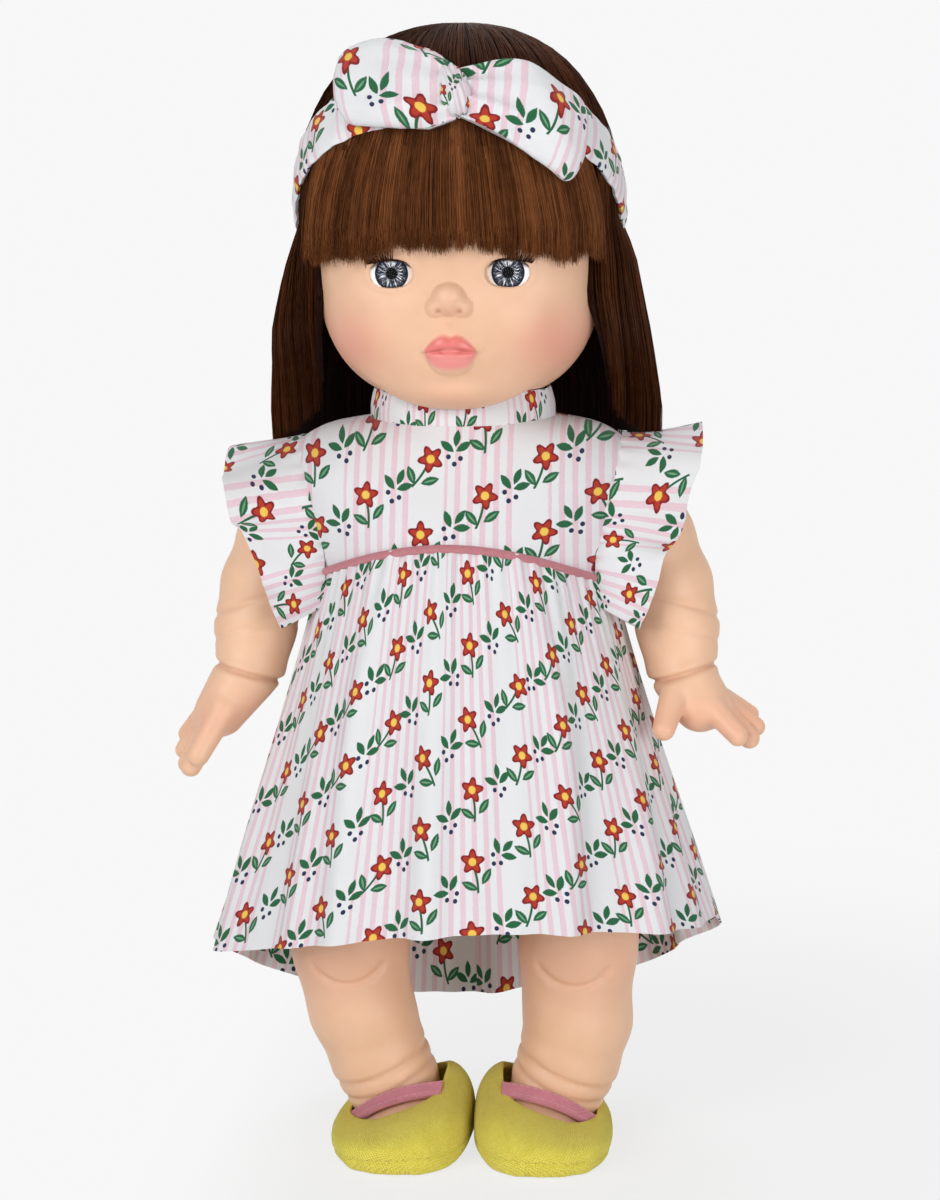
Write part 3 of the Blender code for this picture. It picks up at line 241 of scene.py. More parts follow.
def eye_white():
    """Glossy white ball with a skin-toned lid above a dark painted lid line, brightened by a weak painted
    glow.
    """
    finish = Finish("eye_white", Coat_Weight=0.25, Coat_Roughness=0.05)
    place = finish.place()
    vein = finish.noise(place, 0.5, 3.0)
    white = finish.mix(vein, (0.93, 0.93, 0.95), (0.97, 0.97, 0.98))
    lidded = finish.mix(finish.mark("lid"), white, (0.80, 0.50, 0.35))
    colour = finish.mix(finish.mark("line"), lidded, (0.018, 0.010, 0.008))
    # Painted light: the white glows a little so that it looks brighter.
    finish.glow(colour, 0.14)
    return finish.set(colour, 0.16 + 0.22 * finish.mark("lid"))


def iris_print():
    """A dark iris with silver rays that thin out towards a near-black rim, round a black pupil, lifted by a
    painted glow.
    """
    finish = Finish("iris_print", Specular_IOR_Level=0.1)
    around, out, _ = finish.parts(finish.cloth_place())
    ray_place = finish.node("ShaderNodeCombineXYZ", {}, around * 7.0, out * 0.55, 0.0)
    fine_place = finish.node("ShaderNodeCombineXYZ", {}, around * 17.0, out * 1.2, 3.0)
    rays = finish.noise(ray_place, 1.0, 3.0).rise(0.45, 0.66)
    fine = finish.noise(fine_place, 1.0, 2.0).rise(0.46, 0.70)
    streak = (rays * 0.70 + fine * 0.60).least(1.0)
    ring = out.rise(1.5, 1.9) * (1.0 - out.rise(2.8, 4.4))
    silver = finish.mix(rays, (0.11, 0.13, 0.20), (0.95, 0.97, 1.0))
    ground = finish.mix(out.rise(1.6, 3.2), (0.007, 0.008, 0.014), (0.013, 0.015, 0.027))
    lit = finish.mix(streak * ring, ground, silver)
    rimmed = finish.mix(out.rise(4.0, 4.5), lit, (0.010, 0.012, 0.020))
    colour = finish.mix(out.rise(1.45, 1.65), (0.003, 0.003, 0.004), rimmed)
    # Painted light: the iris glows so that it stays bright inside its recess.
    finish.glow(colour, 0.30)
    return finish.set(colour, 0.22 + 0.1 * fine)


def clear_dome():
    """A clear moulded cap: see-through, with a hard reflection that grows towards its edge."""
    finish = Finish("clear_dome")
    clear = finish.node("ShaderNodeBsdfTransparent", {}, Color=(1, 1, 1, 1))
    gloss = finish.node("ShaderNodeBsdfGlossy", {}, Color=(1, 1, 1, 1), Roughness=0.04)
    edge = finish.node("ShaderNodeLayerWeight", {}, Blend=0.12)
    speck = finish.noise(finish.place(), 1.5, 2.0)
    share = edge * (0.45 + 0.1 * speck)
    finish.cover(finish.node("ShaderNodeMixShader", {}, share, clear, gloss))
    finish.tree.nodes.remove(finish.surface)
    return finish.material


def fibre(name, root, tip, light, roughness):
    """Rooted fibre: darker at the root, each strand with its own shade."""
    finish = Finish(name, Specular_IOR_Level=0.08, Specular_Tint=(1.0, 0.45, 0.24, 1.0))
    streak = finish.noise(finish.place(), 0.35, 3.0)
    shade = finish.mark("shade")
    along = finish.mark("along")
    base = finish.mix(along.rise(0.0, 0.9), root, tip)
    colour = finish.mix((shade * 0.75 + streak * 0.35 - 0.1).most(0.0), base, light)
    return finish.set(colour, roughness + 0.12 * streak)


def hair_under():
    """The packed fibre below the outer strands."""
    finish = Finish("hair_under", Specular_IOR_Level=0.05)
    x, y, z = finish.parts(finish.place())
    combed = finish.node("ShaderNodeCombineXYZ", {}, x * 1.6, y * 1.6, z * 0.05)
    streak = finish.noise(combed, 1.0, 3.0)
    colour = finish.mix(streak.rise(0.35, 0.75), (0.010, 0.0035, 0.002), (0.034, 0.012, 0.006))
    return finish.set(colour, 0.5 + 0.1 * streak, streak, relief=0.35)


MOTIF_SCALE = 0.80
MOTIF_CELL = (13.4, 16.6)
STRIPE_PITCH = 3.7
STRIPE_GROUP = 29.6
COTTON_PITCH = 0.42
LEAF_GREEN = (0.018, 0.125, 0.050)

# Leaves: middle across and up, half length, half width, turn
SPRAY_LEAVES = ((2.3, -1.9, 2.3, 1.05, 0.75), (-2.2, -2.9, 2.3, 1.05, 2.45))
SPRAY_VEINS = ((2.3, -1.9, 1.7, 0.28, 0.75), (-2.2, -2.9, 1.7, 0.28, 2.45))
SPRIG_LEAVES = ((1.9, 0.7, 2.1, 0.95, 0.6), (-1.9, 0.5, 2.1, 0.95, 2.55), (0.2, 2.4, 2.0, 0.9, 1.5))

PETAL_REACH, PETAL_NOTCH = 2.55, 0.62
FLOWER_RISE, FLOWER_EYE = 2.3, 1.05
DOT_RADIUS = 0.62
DOT_PLACES = ((1.4, -1.9), (-1.4, -1.7), (0.1, -3.2))


def most_of(wires):
    """The largest of several wires."""
    largest = wires[0]
    for wire in wires[1:]:
        largest = largest.most(wire)
    return largest


def motif_cell(finish, u, v, slide):
    """Place inside a half-drop cell of the print, turned by that cell's own angle."""
    width, height = MOTIF_CELL
    across, along = u * MOTIF_SCALE, v * MOTIF_SCALE
    column = (across / width + slide).floor()
    odd = column - (column / 2.0).floor() * 2.0
    dropped = along / height + odd * 0.5 + slide * 0.5
    row = dropped.floor()
    seed = finish.node("ShaderNodeCombineXYZ", {}, column, row, slide * 10.0)
    whim = finish.node("ShaderNodeTexWhiteNoise", {"noise_dimensions": "3D"}, Vector=seed)
    x = (across / width + slide - column - 0.5) * width
    y = (dropped - row - 0.5) * height
    turn = (whim - 0.5) * 1.5
    swing, lean = turn.sine(), turn.cosine()
    return x * lean - y * swing, x * swing + y * lean


def leaf(x, y, middle_x, middle_y, long, wide, angle):
    """How far inside a pointed leaf a place is: above 0 inside."""
    c, s = math.cos(angle), math.sin(angle)
    along = ((x - middle_x) * c + (y - middle_y) * s) / long
    across = ((y - middle_y) * c - (x - middle_x) * s) / wide
    return 1.0 - along * along - across.size()


def printed_cotton():
    """White cotton with pale ticking stripes, small five-petal flowers on leafy sprigs, and pin dots."""
    finish = Finish("printed_cotton", Sheen_Weight=0.12, Specular_IOR_Level=0.25)
    place = finish.cloth_place()
    u, v, _ = finish.parts(place)
    wobble = finish.noise(place, 0.55, 2.0)
    smudge = finish.noise(place, 2.2, 3.0)
    shifted = u + (wobble - 0.5) * 0.45
    comb = (shifted * (2 * math.pi / STRIPE_PITCH)).sine()
    group = (shifted * (2 * math.pi / STRIPE_GROUP)).sine().rise(-0.62, -0.52)
    stripe = comb.rise(0.05, 0.32) * group * (0.60 + 0.5 * smudge.rise(0.25, 0.6))
    ground = finish.mix(smudge, (0.76, 0.76, 0.775), (0.82, 0.82, 0.83))
    colour = finish.mix(stripe, ground, (0.79, 0.58, 0.645))
    x, y = motif_cell(finish, u, v, 0.0)
    rough_edge = (smudge - 0.5) * 0.35
    stem = (0.34 - (x + y * y * 0.03).size()).rise(0.0, 0.12) * (3.0 - (y + 2.2).size()).rise(0.0, 0.3)
    leaves = most_of([leaf(x, y, *row) for row in SPRAY_LEAVES])
    veins = most_of([leaf(x, y, *row) for row in SPRAY_VEINS])
    greens = (leaves + rough_edge).rise(0.0, 0.22).most(stem)
    colour = finish.mix(greens, colour, LEAF_GREEN)
    colour = finish.mix(veins.rise(0.0, 0.4), colour, (0.16, 0.36, 0.20))
    rise = y - FLOWER_RISE
    reach = (x * x + rise * rise) ** 0.5
    angle = finish.node("ShaderNodeMath", {"operation": "ARCTAN2"}, rise, x)
    petals = PETAL_REACH + PETAL_NOTCH * (angle * 5.0).cosine() + rough_edge
    inside = petals - reach
    colour = finish.mix(inside.rise(0.0, 0.18), colour, (0.22, 0.010, 0.014))
    colour = finish.mix(inside.rise(0.5, 0.9), colour, (0.45, 0.040, 0.022))
    colour = finish.mix((FLOWER_EYE + rough_edge - reach).rise(0.0, 0.25), colour, (0.85, 0.58, 0.10))
    far_x, far_y = motif_cell(finish, u, v, 0.5)
    sprig = most_of([leaf(far_x, far_y, *row) for row in SPRIG_LEAVES])
    colour = finish.mix((sprig + rough_edge).rise(0.0, 0.22), colour, LEAF_GREEN)
    gaps = [((far_x - a) ** 2.0 + (far_y - b) ** 2.0) ** 0.5 for a, b in DOT_PLACES]
    dots = most_of([DOT_RADIUS - gap for gap in gaps])
    colour = finish.mix(dots.rise(0.0, 0.12), colour, (0.020, 0.030, 0.075))
    weft = (u * (2 * math.pi / COTTON_PITCH)).sine()
    warp = (v * (2 * math.pi / COTTON_PITCH)).sine()
    weave = weft * warp + smudge * 0.8
    return finish.set(colour, 0.80 + 0.12 * smudge, weave, relief=0.05, reach=0.6)


def woven(name, dark, light, pitch, relief, slub=0.5, on_flat=False):
    """Coarse plain-weave cloth with slubs and faded spots, on its flat or its object coordinates."""
    finish = Finish(name, Sheen_Weight=0.15, Specular_IOR_Level=0.2)
    place = finish.place()
    x, y, z = finish.parts(finish.cloth_place() if on_flat else place)
    slubs = finish.noise(place, 0.8, 3.0)
    fade = finish.noise(place, 0.16, 2.0)
    turn = 2 * math.pi / pitch
    first = ((x + z + y * 0.4 + slubs * slub) * turn).sine()
    second = ((y - x * 0.4 - z + slubs * slub) * turn).sine()
    threads = first * second
    blend = (threads * 0.30 + slubs * 0.5 + fade * 0.45 - 0.02).most(0.0).least(1.0)
    colour = finish.mix(blend, dark, light)
    return finish.set(colour, 0.82 + 0.12 * slubs, threads + slubs, relief=relief)


def cord_cover():
    """Bias-cut cotton wrapped over a cord."""
    finish = Finish("piping_cord", Sheen_Weight=0.2, Specular_IOR_Level=0.25)
    place = finish.place()
    x, y, z = finish.parts(place)
    thread = ((x + y + z * 2.0) * 7.0).sine()
    soft = finish.noise(place, 0.6, 3.0)
    colour = finish.mix(soft, (0.50, 0.175, 0.20), (0.63, 0.255, 0.285))
    return finish.set(colour, 0.78 + 0.1 * soft, thread, relief=0.05)


def moulded(name, dark, light, roughness, metallic=0.0):
    """Moulded plastic or turned metal with faint flow marks."""
    finish = Finish(name, Metallic=metallic)
    place = finish.place()
    flow = finish.noise(place, 0.4, 3.0)
    grain = finish.noise(place, 4.0, 2.0)
    colour = finish.mix(flow, dark, light)
    return finish.set(colour, roughness + 0.12 * flow, grain, relief=0.01)


SKIN = vinyl_skin()
EYE_WHITE = eye_white()
IRIS = iris_print()
CLEAR = clear_dome()
# The crown, sides and back take the darker hair finish; the fringe takes a lighter copy of the same fibre,
# which is painted light where the fringe faces the lamps.
HAIR = fibre("rooted_hair", (0.013, 0.0034, 0.0017), (0.031, 0.0085, 0.0036), (0.135, 0.044, 0.016), 0.40)
LASH = fibre("lash_hair", (0.010, 0.005, 0.004), (0.035, 0.013, 0.006), (0.070, 0.028, 0.012), 0.45)
LIT_FRINGE_HAIR = fibre("fringe_hair", (0.027, 0.0085, 0.004), (0.086, 0.026, 0.009), (0.33, 0.120, 0.041), 0.42)
HAIR_UNDER = hair_under()
PRINT = printed_cotton()
CORD = cord_cover()
LINEN = woven("mustard_linen", (0.76, 0.61, 0.055), (1.0, 0.93, 0.17), 0.95, 0.16, 0.3, on_flat=True)
SOLE = woven("sole_cloth", (0.50, 0.39, 0.05), (0.78, 0.65, 0.14), 0.8, 0.12, 0.15)
FELT = woven("strap_felt", (0.60, 0.19, 0.25), (0.82, 0.34, 0.40), 0.5, 0.08)
FELT_THREAD = woven("strap_thread", (0.68, 0.30, 0.36), (0.88, 0.50, 0.54), 0.3, 0.02)
THREAD = woven("sewing_thread", (0.70, 0.66, 0.62), (0.88, 0.85, 0.82), 0.3, 0.02)
BUTTON = moulded("shirt_button", (0.76, 0.73, 0.68), (0.88, 0.86, 0.82), 0.22)
CASE = moulded("eye_case_plastic", (0.66, 0.65, 0.61), (0.78, 0.77, 0.73), 0.45)
STEEL = moulded("weight_steel", (0.44, 0.44, 0.46), (0.58, 0.58, 0.60), 0.30, metallic=1.0)


# Meshes


def linked(name, data):
    """A new object in the scene."""
    made = bpy.data.objects.new(name, data)
    bpy.context.scene.collection.objects.link(made)
    return made


def carry(mesh, marks):
    """Gives a mesh named numbers at its points."""
    for key, values in marks.items():
        attribute = mesh.attributes.new(key, "FLOAT", "POINT")
        attribute.data.foreach_set("value", np.asarray(values, np.float32).ravel())


def settled(obj):
    """The plain mesh that an object's modifiers give."""
    graph = bpy.context.evaluated_depsgraph_get()
    shown = obj.evaluated_get(graph)
    return bpy.data.meshes.new_from_object(shown, preserve_all_data_layers=True, depsgraph=graph)


def fit(made, node, body):
    """Puts a piece in place of a node, on the body that it rides on."""
    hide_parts(node)
    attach(made, body)


def piece(name, points, faces, finish, uv=None, marks=None):
    """A smooth mesh from points in millimetres about the doll's axis, linked to the scene."""
    mesh = bpy.data.meshes.new(name)
    placed = np.asarray(points, float).reshape(-1, 3) * MM + AXIS
    mesh.from_pydata(placed.tolist(), [], [list(map(int, face)) for face in faces])
    mesh.shade_smooth()
    if uv is not None:
        layer = mesh.uv_layers.new(name="flat")
        layer.data.foreach_set("uv", np.asarray(uv, np.float32).ravel())
    carry(mesh, marks or {})
    mesh.materials.append(finish)
    return linked(name, mesh)


def grid_faces(rows, columns, closed=False):
    """Quads of a grid of rows by columns of points, and for each corner its place in an open grid."""
    wrap = columns if closed else columns - 1
    row, column = np.meshgrid(np.arange(rows - 1), np.arange(wrap), indexing="ij")
    corners = [(row, column), (row, column + 1), (row + 1, column + 1), (row + 1, column)]
    faces = [r * columns + c % columns for r, c in corners]
    places = [r * (wrap + 1) + c for r, c in corners]
    return np.stack(faces, -1).reshape(-1, 4), np.stack(places, -1).reshape(-1)


def capped(points, flip=False):
    """Points and faces of a closed-round grid with its end rows shut by fans, and its corners' places."""
    rows, columns = points.shape[:2]
    quads, places = grid_faces(rows, columns, closed=True)
    flat = np.concatenate([points.reshape(-1, 3), [points[0].mean(0), points[-1].mean(0)]])
    faces = [tuple(quad) for quad in quads]
    first, last, end = rows * columns, rows * columns + 1, (rows - 1) * columns
    for column in range(columns):
        following = (column + 1) % columns
        faces.append((first, following, column))
        faces.append((last, end + column, end + following))
    if flip:
        faces = [face[::-1] for face in faces]
    return flat, faces, places


def capped_flat(table, places, end=(0.0, 0.0), flip=False):
    """Flat coordinates of a capped grid's face corners, with every fan corner at one place."""
    quads = table.reshape(-1, 2)[places].reshape(-1, 4, 2)
    if flip:
        quads = quads[:, ::-1]
    fans = np.tile(end, (6 * (table.shape[1] - 1), 1))
    return np.concatenate([quads.reshape(-1, 2), fans])


def ring(count):
    """Angles of points evenly round a circle."""
    return np.linspace(0, 2 * np.pi, count, endpoint=False)


def soften(value, start, end):
    """Smooth step from 0 at start to 1 at end, on arrays."""
    share = np.clip((value - start) / (end - start), 0, 1)
    return share * share * (3 - 2 * share)


def bell(x, y=0.0):
    """A soft bump that is 1 at its middle."""
    return np.exp(-(x * x + y * y))


def soft_most(first, second, blend):
    """The larger of two heights, with a rounded meeting."""
    share = np.maximum(blend - np.abs(first - second), 0) / blend
    return np.maximum(first, second) + share * share * blend / 4


def soft_join(first, second, blend):
    """The smaller of two distances, with a rounded meeting."""
    return -soft_most(-first, -second, blend)


def rounded(first, second, power):
    """One measure from two, as in a rounded oblong: 1 on its edge."""
    return (first**power + second**power) ** (1 / power)


def ball(p, centre, radii):
    """Distance to an ellipsoid, near enough for a smooth skin."""
    q = [(p[i] - centre[i]) / radii[i] for i in range(3)]
    near = np.sqrt(sum(value * value for value in q)) + 1e-9
    slope = np.sqrt(sum((value / radius) ** 2 for value, radius in zip(q, radii))) + 1e-9
    return near * (near - 1) / slope


def limb_bone(p, start, end, start_radius, end_radius):
    """Distance to a tapered round-ended bar."""
    start, way = np.array(start, float), np.array(end, float) - np.array(start, float)
    gap = [p[i] - start[i] for i in range(3)]
    along = np.clip(sum(g * w for g, w in zip(gap, way)) / (way @ way), 0, 1)
    away = np.sqrt(sum((g - along * w) ** 2 for g, w in zip(gap, way)))
    return away - (start_radius + (end_radius - start_radius) * along)


def joined(p, bones, blend):
    """Distance to several bars that run softly into each other."""
    whole = limb_bone(p, *bones[0])
    for bone in bones[1:]:
        whole = soft_join(whole, limb_bone(p, *bone), blend)
    return whole


def skin_over(field, low, high, step):
    """Points and quads of the surface where field is 0, one point to each grid cell that it crosses."""
    axes = [np.arange(a, b + step, step, dtype=np.float32) for a, b in zip(low, high)]
    value = field(np.meshgrid(*axes, indexing="ij", sparse=True)).astype(np.float32)
    inside = value < 0
    cells = [size - 1 for size in value.shape]
    shifts = [(i, j, k) for i in (0, 1) for j in (0, 1) for k in (0, 1)]

    def corner(array, shift):
        return array[tuple(slice(s, s + n) for s, n in zip(shift, cells))]

    count = sum(corner(inside, shift).astype(np.int8) for shift in shifts)
    cell = np.argwhere((count > 0) & (count < 8))
    number = np.full(cells, -1, np.int64)
    number[tuple(cell.T)] = np.arange(len(cell))
    total = np.zeros((len(cell), 3))
    crossings = np.zeros(len(cell))
    for shift in shifts:
        for axis in range(3):
            if shift[axis]:
                continue
            other = list(shift)
            other[axis] = 1
            first = value[tuple((cell + shift).T)]
            second = value[tuple((cell + other).T)]
            crossed = (first < 0) != (second < 0)
            share = np.where(crossed, first / np.where(crossed, first - second, 1), 0)
            where = np.tile(np.array(shift, float), (len(cell), 1))
            where[:, axis] = share
            total += where * crossed[:, None]
            crossings += crossed
    points = (cell + total / crossings[:, None]) * step + np.array([axis[0] for axis in axes])
    faces = []
    for axis in range(3):
        others = [a for a in range(3) if a != axis]
        lower = [slice(None)] * 3
        upper = [slice(None)] * 3
        lower[axis], upper[axis] = slice(0, -1), slice(1, None)
        change = inside[tuple(lower)].astype(np.int8) - inside[tuple(upper)].astype(np.int8)
        for sense in (1, -1):
            edge = np.argwhere(change == sense)
            within = (edge[:, others] > 0) & (edge[:, others] < np.array(value.shape)[others] - 1)
            edge = edge[within.all(1)]
            loop = []
            for back in ((1, 1), (0, 1), (0, 0), (1, 0)):
                near = edge.copy()
                near[:, others[0]] -= back[0]
                near[:, others[1]] -= back[1]
                loop.append(number[tuple(near.T)])
            quads = np.stack(loop, -1)
            turn_round = (sense == 1) == (axis == 1)
            faces.append(quads[:, ::-1] if turn_round else quads)
    return points, np.concatenate(faces)


def sweep_tree():
    """Geometry Nodes that sweep a round section along the edges of a mesh."""
    tree = bpy.data.node_groups.new("thread_sweep", "GeometryNodeTree")
    face = tree.interface
    face.new_socket("Geometry", in_out="INPUT", socket_type="NodeSocketGeometry")
    sides = face.new_socket("Sides", in_out="INPUT", socket_type="NodeSocketInt")
    paint = face.new_socket("Finish", in_out="INPUT", socket_type="NodeSocketMaterial")
    face.new_socket("Geometry", in_out="OUTPUT", socket_type="NodeSocketGeometry")
    sides.default_value = 6

    def add(kind, **settings):
        made = tree.nodes.new(kind)
        for key, value in settings.items():
            setattr(made, key, value)
        return made

    start, end = add("NodeGroupInput"), add("NodeGroupOutput")
    path = add("GeometryNodeMeshToCurve")
    girth = add("GeometryNodeInputNamedAttribute", data_type="FLOAT")
    girth.inputs["Name"].default_value = "girth"
    section = add("GeometryNodeCurvePrimitiveCircle")
    section.inputs["Radius"].default_value = 1.0
    tube = add("GeometryNodeCurveToMesh")
    tube.inputs["Fill Caps"].default_value = True
    smooth = add("GeometryNodeSetShadeSmooth")
    real = add("GeometryNodeRealizeInstances")
    coat = add("GeometryNodeSetMaterial")
    links = (
        (start.outputs["Geometry"], path.inputs[0]),
        (path.outputs[0], tube.inputs["Curve"]),
        (girth.outputs["Attribute"], tube.inputs["Scale"]),
        (start.outputs["Sides"], section.inputs["Resolution"]),
        (section.outputs[0], tube.inputs["Profile Curve"]),
        (tube.outputs[0], smooth.inputs[0]),
        (smooth.outputs[0], real.inputs[0]),
        (real.outputs[0], coat.inputs["Geometry"]),
        (start.outputs["Finish"], coat.inputs["Material"]),
        (coat.outputs[0], end.inputs[0]),
    )
    for source, target in links:
        tree.links.new(source, target)
    return tree, sides.identifier, paint.identifier


SWEEP, SWEEP_SIDES, SWEEP_FINISH = sweep_tree()


def threads(name, paths, girths, finish, sides, shades=None):
    """Round threads along paths in millimetres, each with its radius at every point, as one mesh."""
    mesh = bpy.data.meshes.new(name + "_paths")
    points = np.concatenate(paths) * MM + AXIS
    starts = np.cumsum([0] + [len(path) for path in paths])
    edges = [(i, i + 1) for a, b in zip(starts, starts[1:]) for i in range(a, b - 1)]
    mesh.from_pydata(points.tolist(), edges, [])
    shades = np.zeros(len(paths)) if shades is None else shades
    marks = {
        "girth": np.concatenate(girths) * MM,
        "along": np.concatenate([np.linspace(0, 1, len(path)) for path in paths]),
        "shade": np.concatenate([np.full(len(path), shade) for path, shade in zip(paths, shades)]),
    }
    carry(mesh, marks)
    guide = linked(name + "_paths", mesh)
    step = guide.modifiers.new("sweep", "NODES")
    step.node_group = SWEEP
    step[SWEEP_SIDES] = sides
    step[SWEEP_FINISH] = finish
    swept = settled(guide)
    bpy.data.objects.remove(guide)
    swept.name = name
    if finish.name not in swept.materials:
        swept.materials.append(finish)
    return linked(name, swept)


def shell(obj, thickness, offset=0.0):
    """Gives a sheet its thickness."""
    skin = obj.modifiers.new("thickness", "SOLIDIFY")
    skin.thickness = thickness * MM
    skin.offset = offset
    thick = settled(obj)
    obj.modifiers.remove(skin)
    thick.set_sharp_from_angle(angle=50 * DEGREE)
    obj.data = thick
    return obj


# Head


HEAD_Z = 282.5
HEAD_HALF = (43.0, 47.0, 53.0)
TOP_POWER, LOW_POWER = 2.3, 2.8
FACE_POWER, NAPE_POWER = 2.5, 2.0
EYE_X, EYE_Z = 16.4, 269.0
EYE_HALF = (6.3, 4.15)
EYE_POWER = 2.3
EYE_SNAP = 0.11
EYE_RECESS = 7.5
MOUTH_Z = 246.8
LIP_HALF = 7.7
NOSE_Z = 261.8
NOSTRIL_X = 2.9
SEAT_RADIUS, SEAT_Z = 29.0, 234.2

# Swellings: height, place from the middle, spread across, level, spread up
FACE_SWELLS = (
    (2.3, 23, 11, 249, 10),
    (2.4, 0, 12, 246, 8.5),
    (4.6, 0, 14, 235.5, 5.6),
    (-2.3, EYE_X, 9.0, 268.5, 7.0),
    (-0.9, 0, 8, 240.6, 1.7),
)
FACE_BLUSH = ((0.72, 30, 11, 248.5, 9.5), (0.16, 0, 5, 259, 5), (0.22, 0, 9, 233, 5))


def swells(side, z, rows):
    """Sum of soft swellings over the face."""
    return sum(high * bell((side - x) / wide, (z - level) / tall) for high, x, wide, level, tall in rows)


def head_reach(height):
    """Share of the head's full width at a height."""
    lift = (height - HEAD_Z) / HEAD_HALF[2]
    power = np.where(lift > 0, TOP_POWER, LOW_POWER)
    return np.maximum(1 - np.abs(np.clip(lift, -1, 1)) ** power, 0) ** (1 / power)


def head_outline(angle, grow=0.0):
    """Plan of the head at its widest: x and y at an angle from the front, towards +X."""
    s, c = np.sin(angle), np.cos(angle)
    power = np.where(c > 0, FACE_POWER, NAPE_POWER)
    wide, deep = HEAD_HALF[0] + grow, HEAD_HALF[1] + grow
    away = ((np.abs(s) / wide) ** power + (np.abs(c) / deep) ** power) ** (-1 / power)
    return away * s, -away * c


def eye_edge(x, z):
    """Below 0 inside the eye opening, which is a rounded almond."""
    across = np.abs(np.abs(x) - EYE_X) / EYE_HALF[0]
    up = np.abs(z - EYE_Z) / EYE_HALF[1]
    return rounded(across, up, EYE_POWER) - 1


def lip_lines(x):
    """Heights of the upper lip's top, the parting and the lower lip's bottom."""
    share = np.minimum(np.abs(x) / LIP_HALF, 1)
    low_share = np.minimum(np.abs(x) / (LIP_HALF - 0.7), 1)
    top = MOUTH_Z + 5.3 * (1 - share**2.2) - 1.0 * bell(x / 1.5)
    parting = MOUTH_Z + 0.55 * (1 - share * share)
    bottom = MOUTH_Z - 0.2 - 4.6 * (1 - low_share**3) ** 0.6
    return top, parting, bottom


def face_relief(x, z):
    """How far features stand out of the plain head, towards the front."""
    side = np.abs(x)
    plain = swells(side, z, FACE_SWELLS)
    round_off = np.where(z < NOSE_Z, 0.72, 0.5)
    tip = 4.8 * np.maximum(1 - (x / 5.0) ** 2 - ((z - NOSE_Z) / 4.9) ** 2, 0) ** round_off
    wing = 3.0 * np.maximum(1 - ((side - 4.0) / 2.8) ** 2 - ((z - 259.6) / 3.0) ** 2, 0) ** 0.6
    bridge = 1.2 * bell(x / 4.6) * soften(z, 274, 263) * soften(z, 256, 259)
    nose = soft_most(soft_most(tip, wing, 2.6), bridge, 2.0)
    nose -= 1.1 * bell((side - NOSTRIL_X) / 0.85, (z - 258.5) / 0.7)
    top, parting, bottom = lip_lines(x)
    share = np.minimum(side / LIP_HALF, 1)
    upper = np.clip((z - parting) / np.maximum(top - parting, 0.15), 0, 1)
    lower = np.clip((parting - z) / np.maximum(parting - bottom, 0.15), 0, 1)
    full = np.sqrt(1 - share**2)
    over = soften(upper, -0.25, 0.3) * (1 - upper**2) ** 0.8 * 2.0 * full
    under = soften(lower, -0.3, 0.3) * (1 - lower**2) ** 0.7 * 2.5 * full
    lips = np.where(z > parting, over, under)
    lips -= 0.30 * bell((z - parting) / 0.5) * np.maximum(1 - (x / 3.4) ** 2, 0)
    lips -= 0.30 * bell((z - parting) / 0.45) * (1 - share**4)
    lips -= 0.4 * bell((side - 9.2) / 1.2, (z - MOUTH_Z) / 1.2)
    lips -= 0.45 * bell(x / 1.4) * soften(z, 250.5, 252.5) * soften(z, 256, 254)
    rim = eye_edge(x, z) * 5.0
    lid = 0.35 * bell((rim - 0.7) / 1.0) * (rim > -1)
    return plain + nose + lips + lid


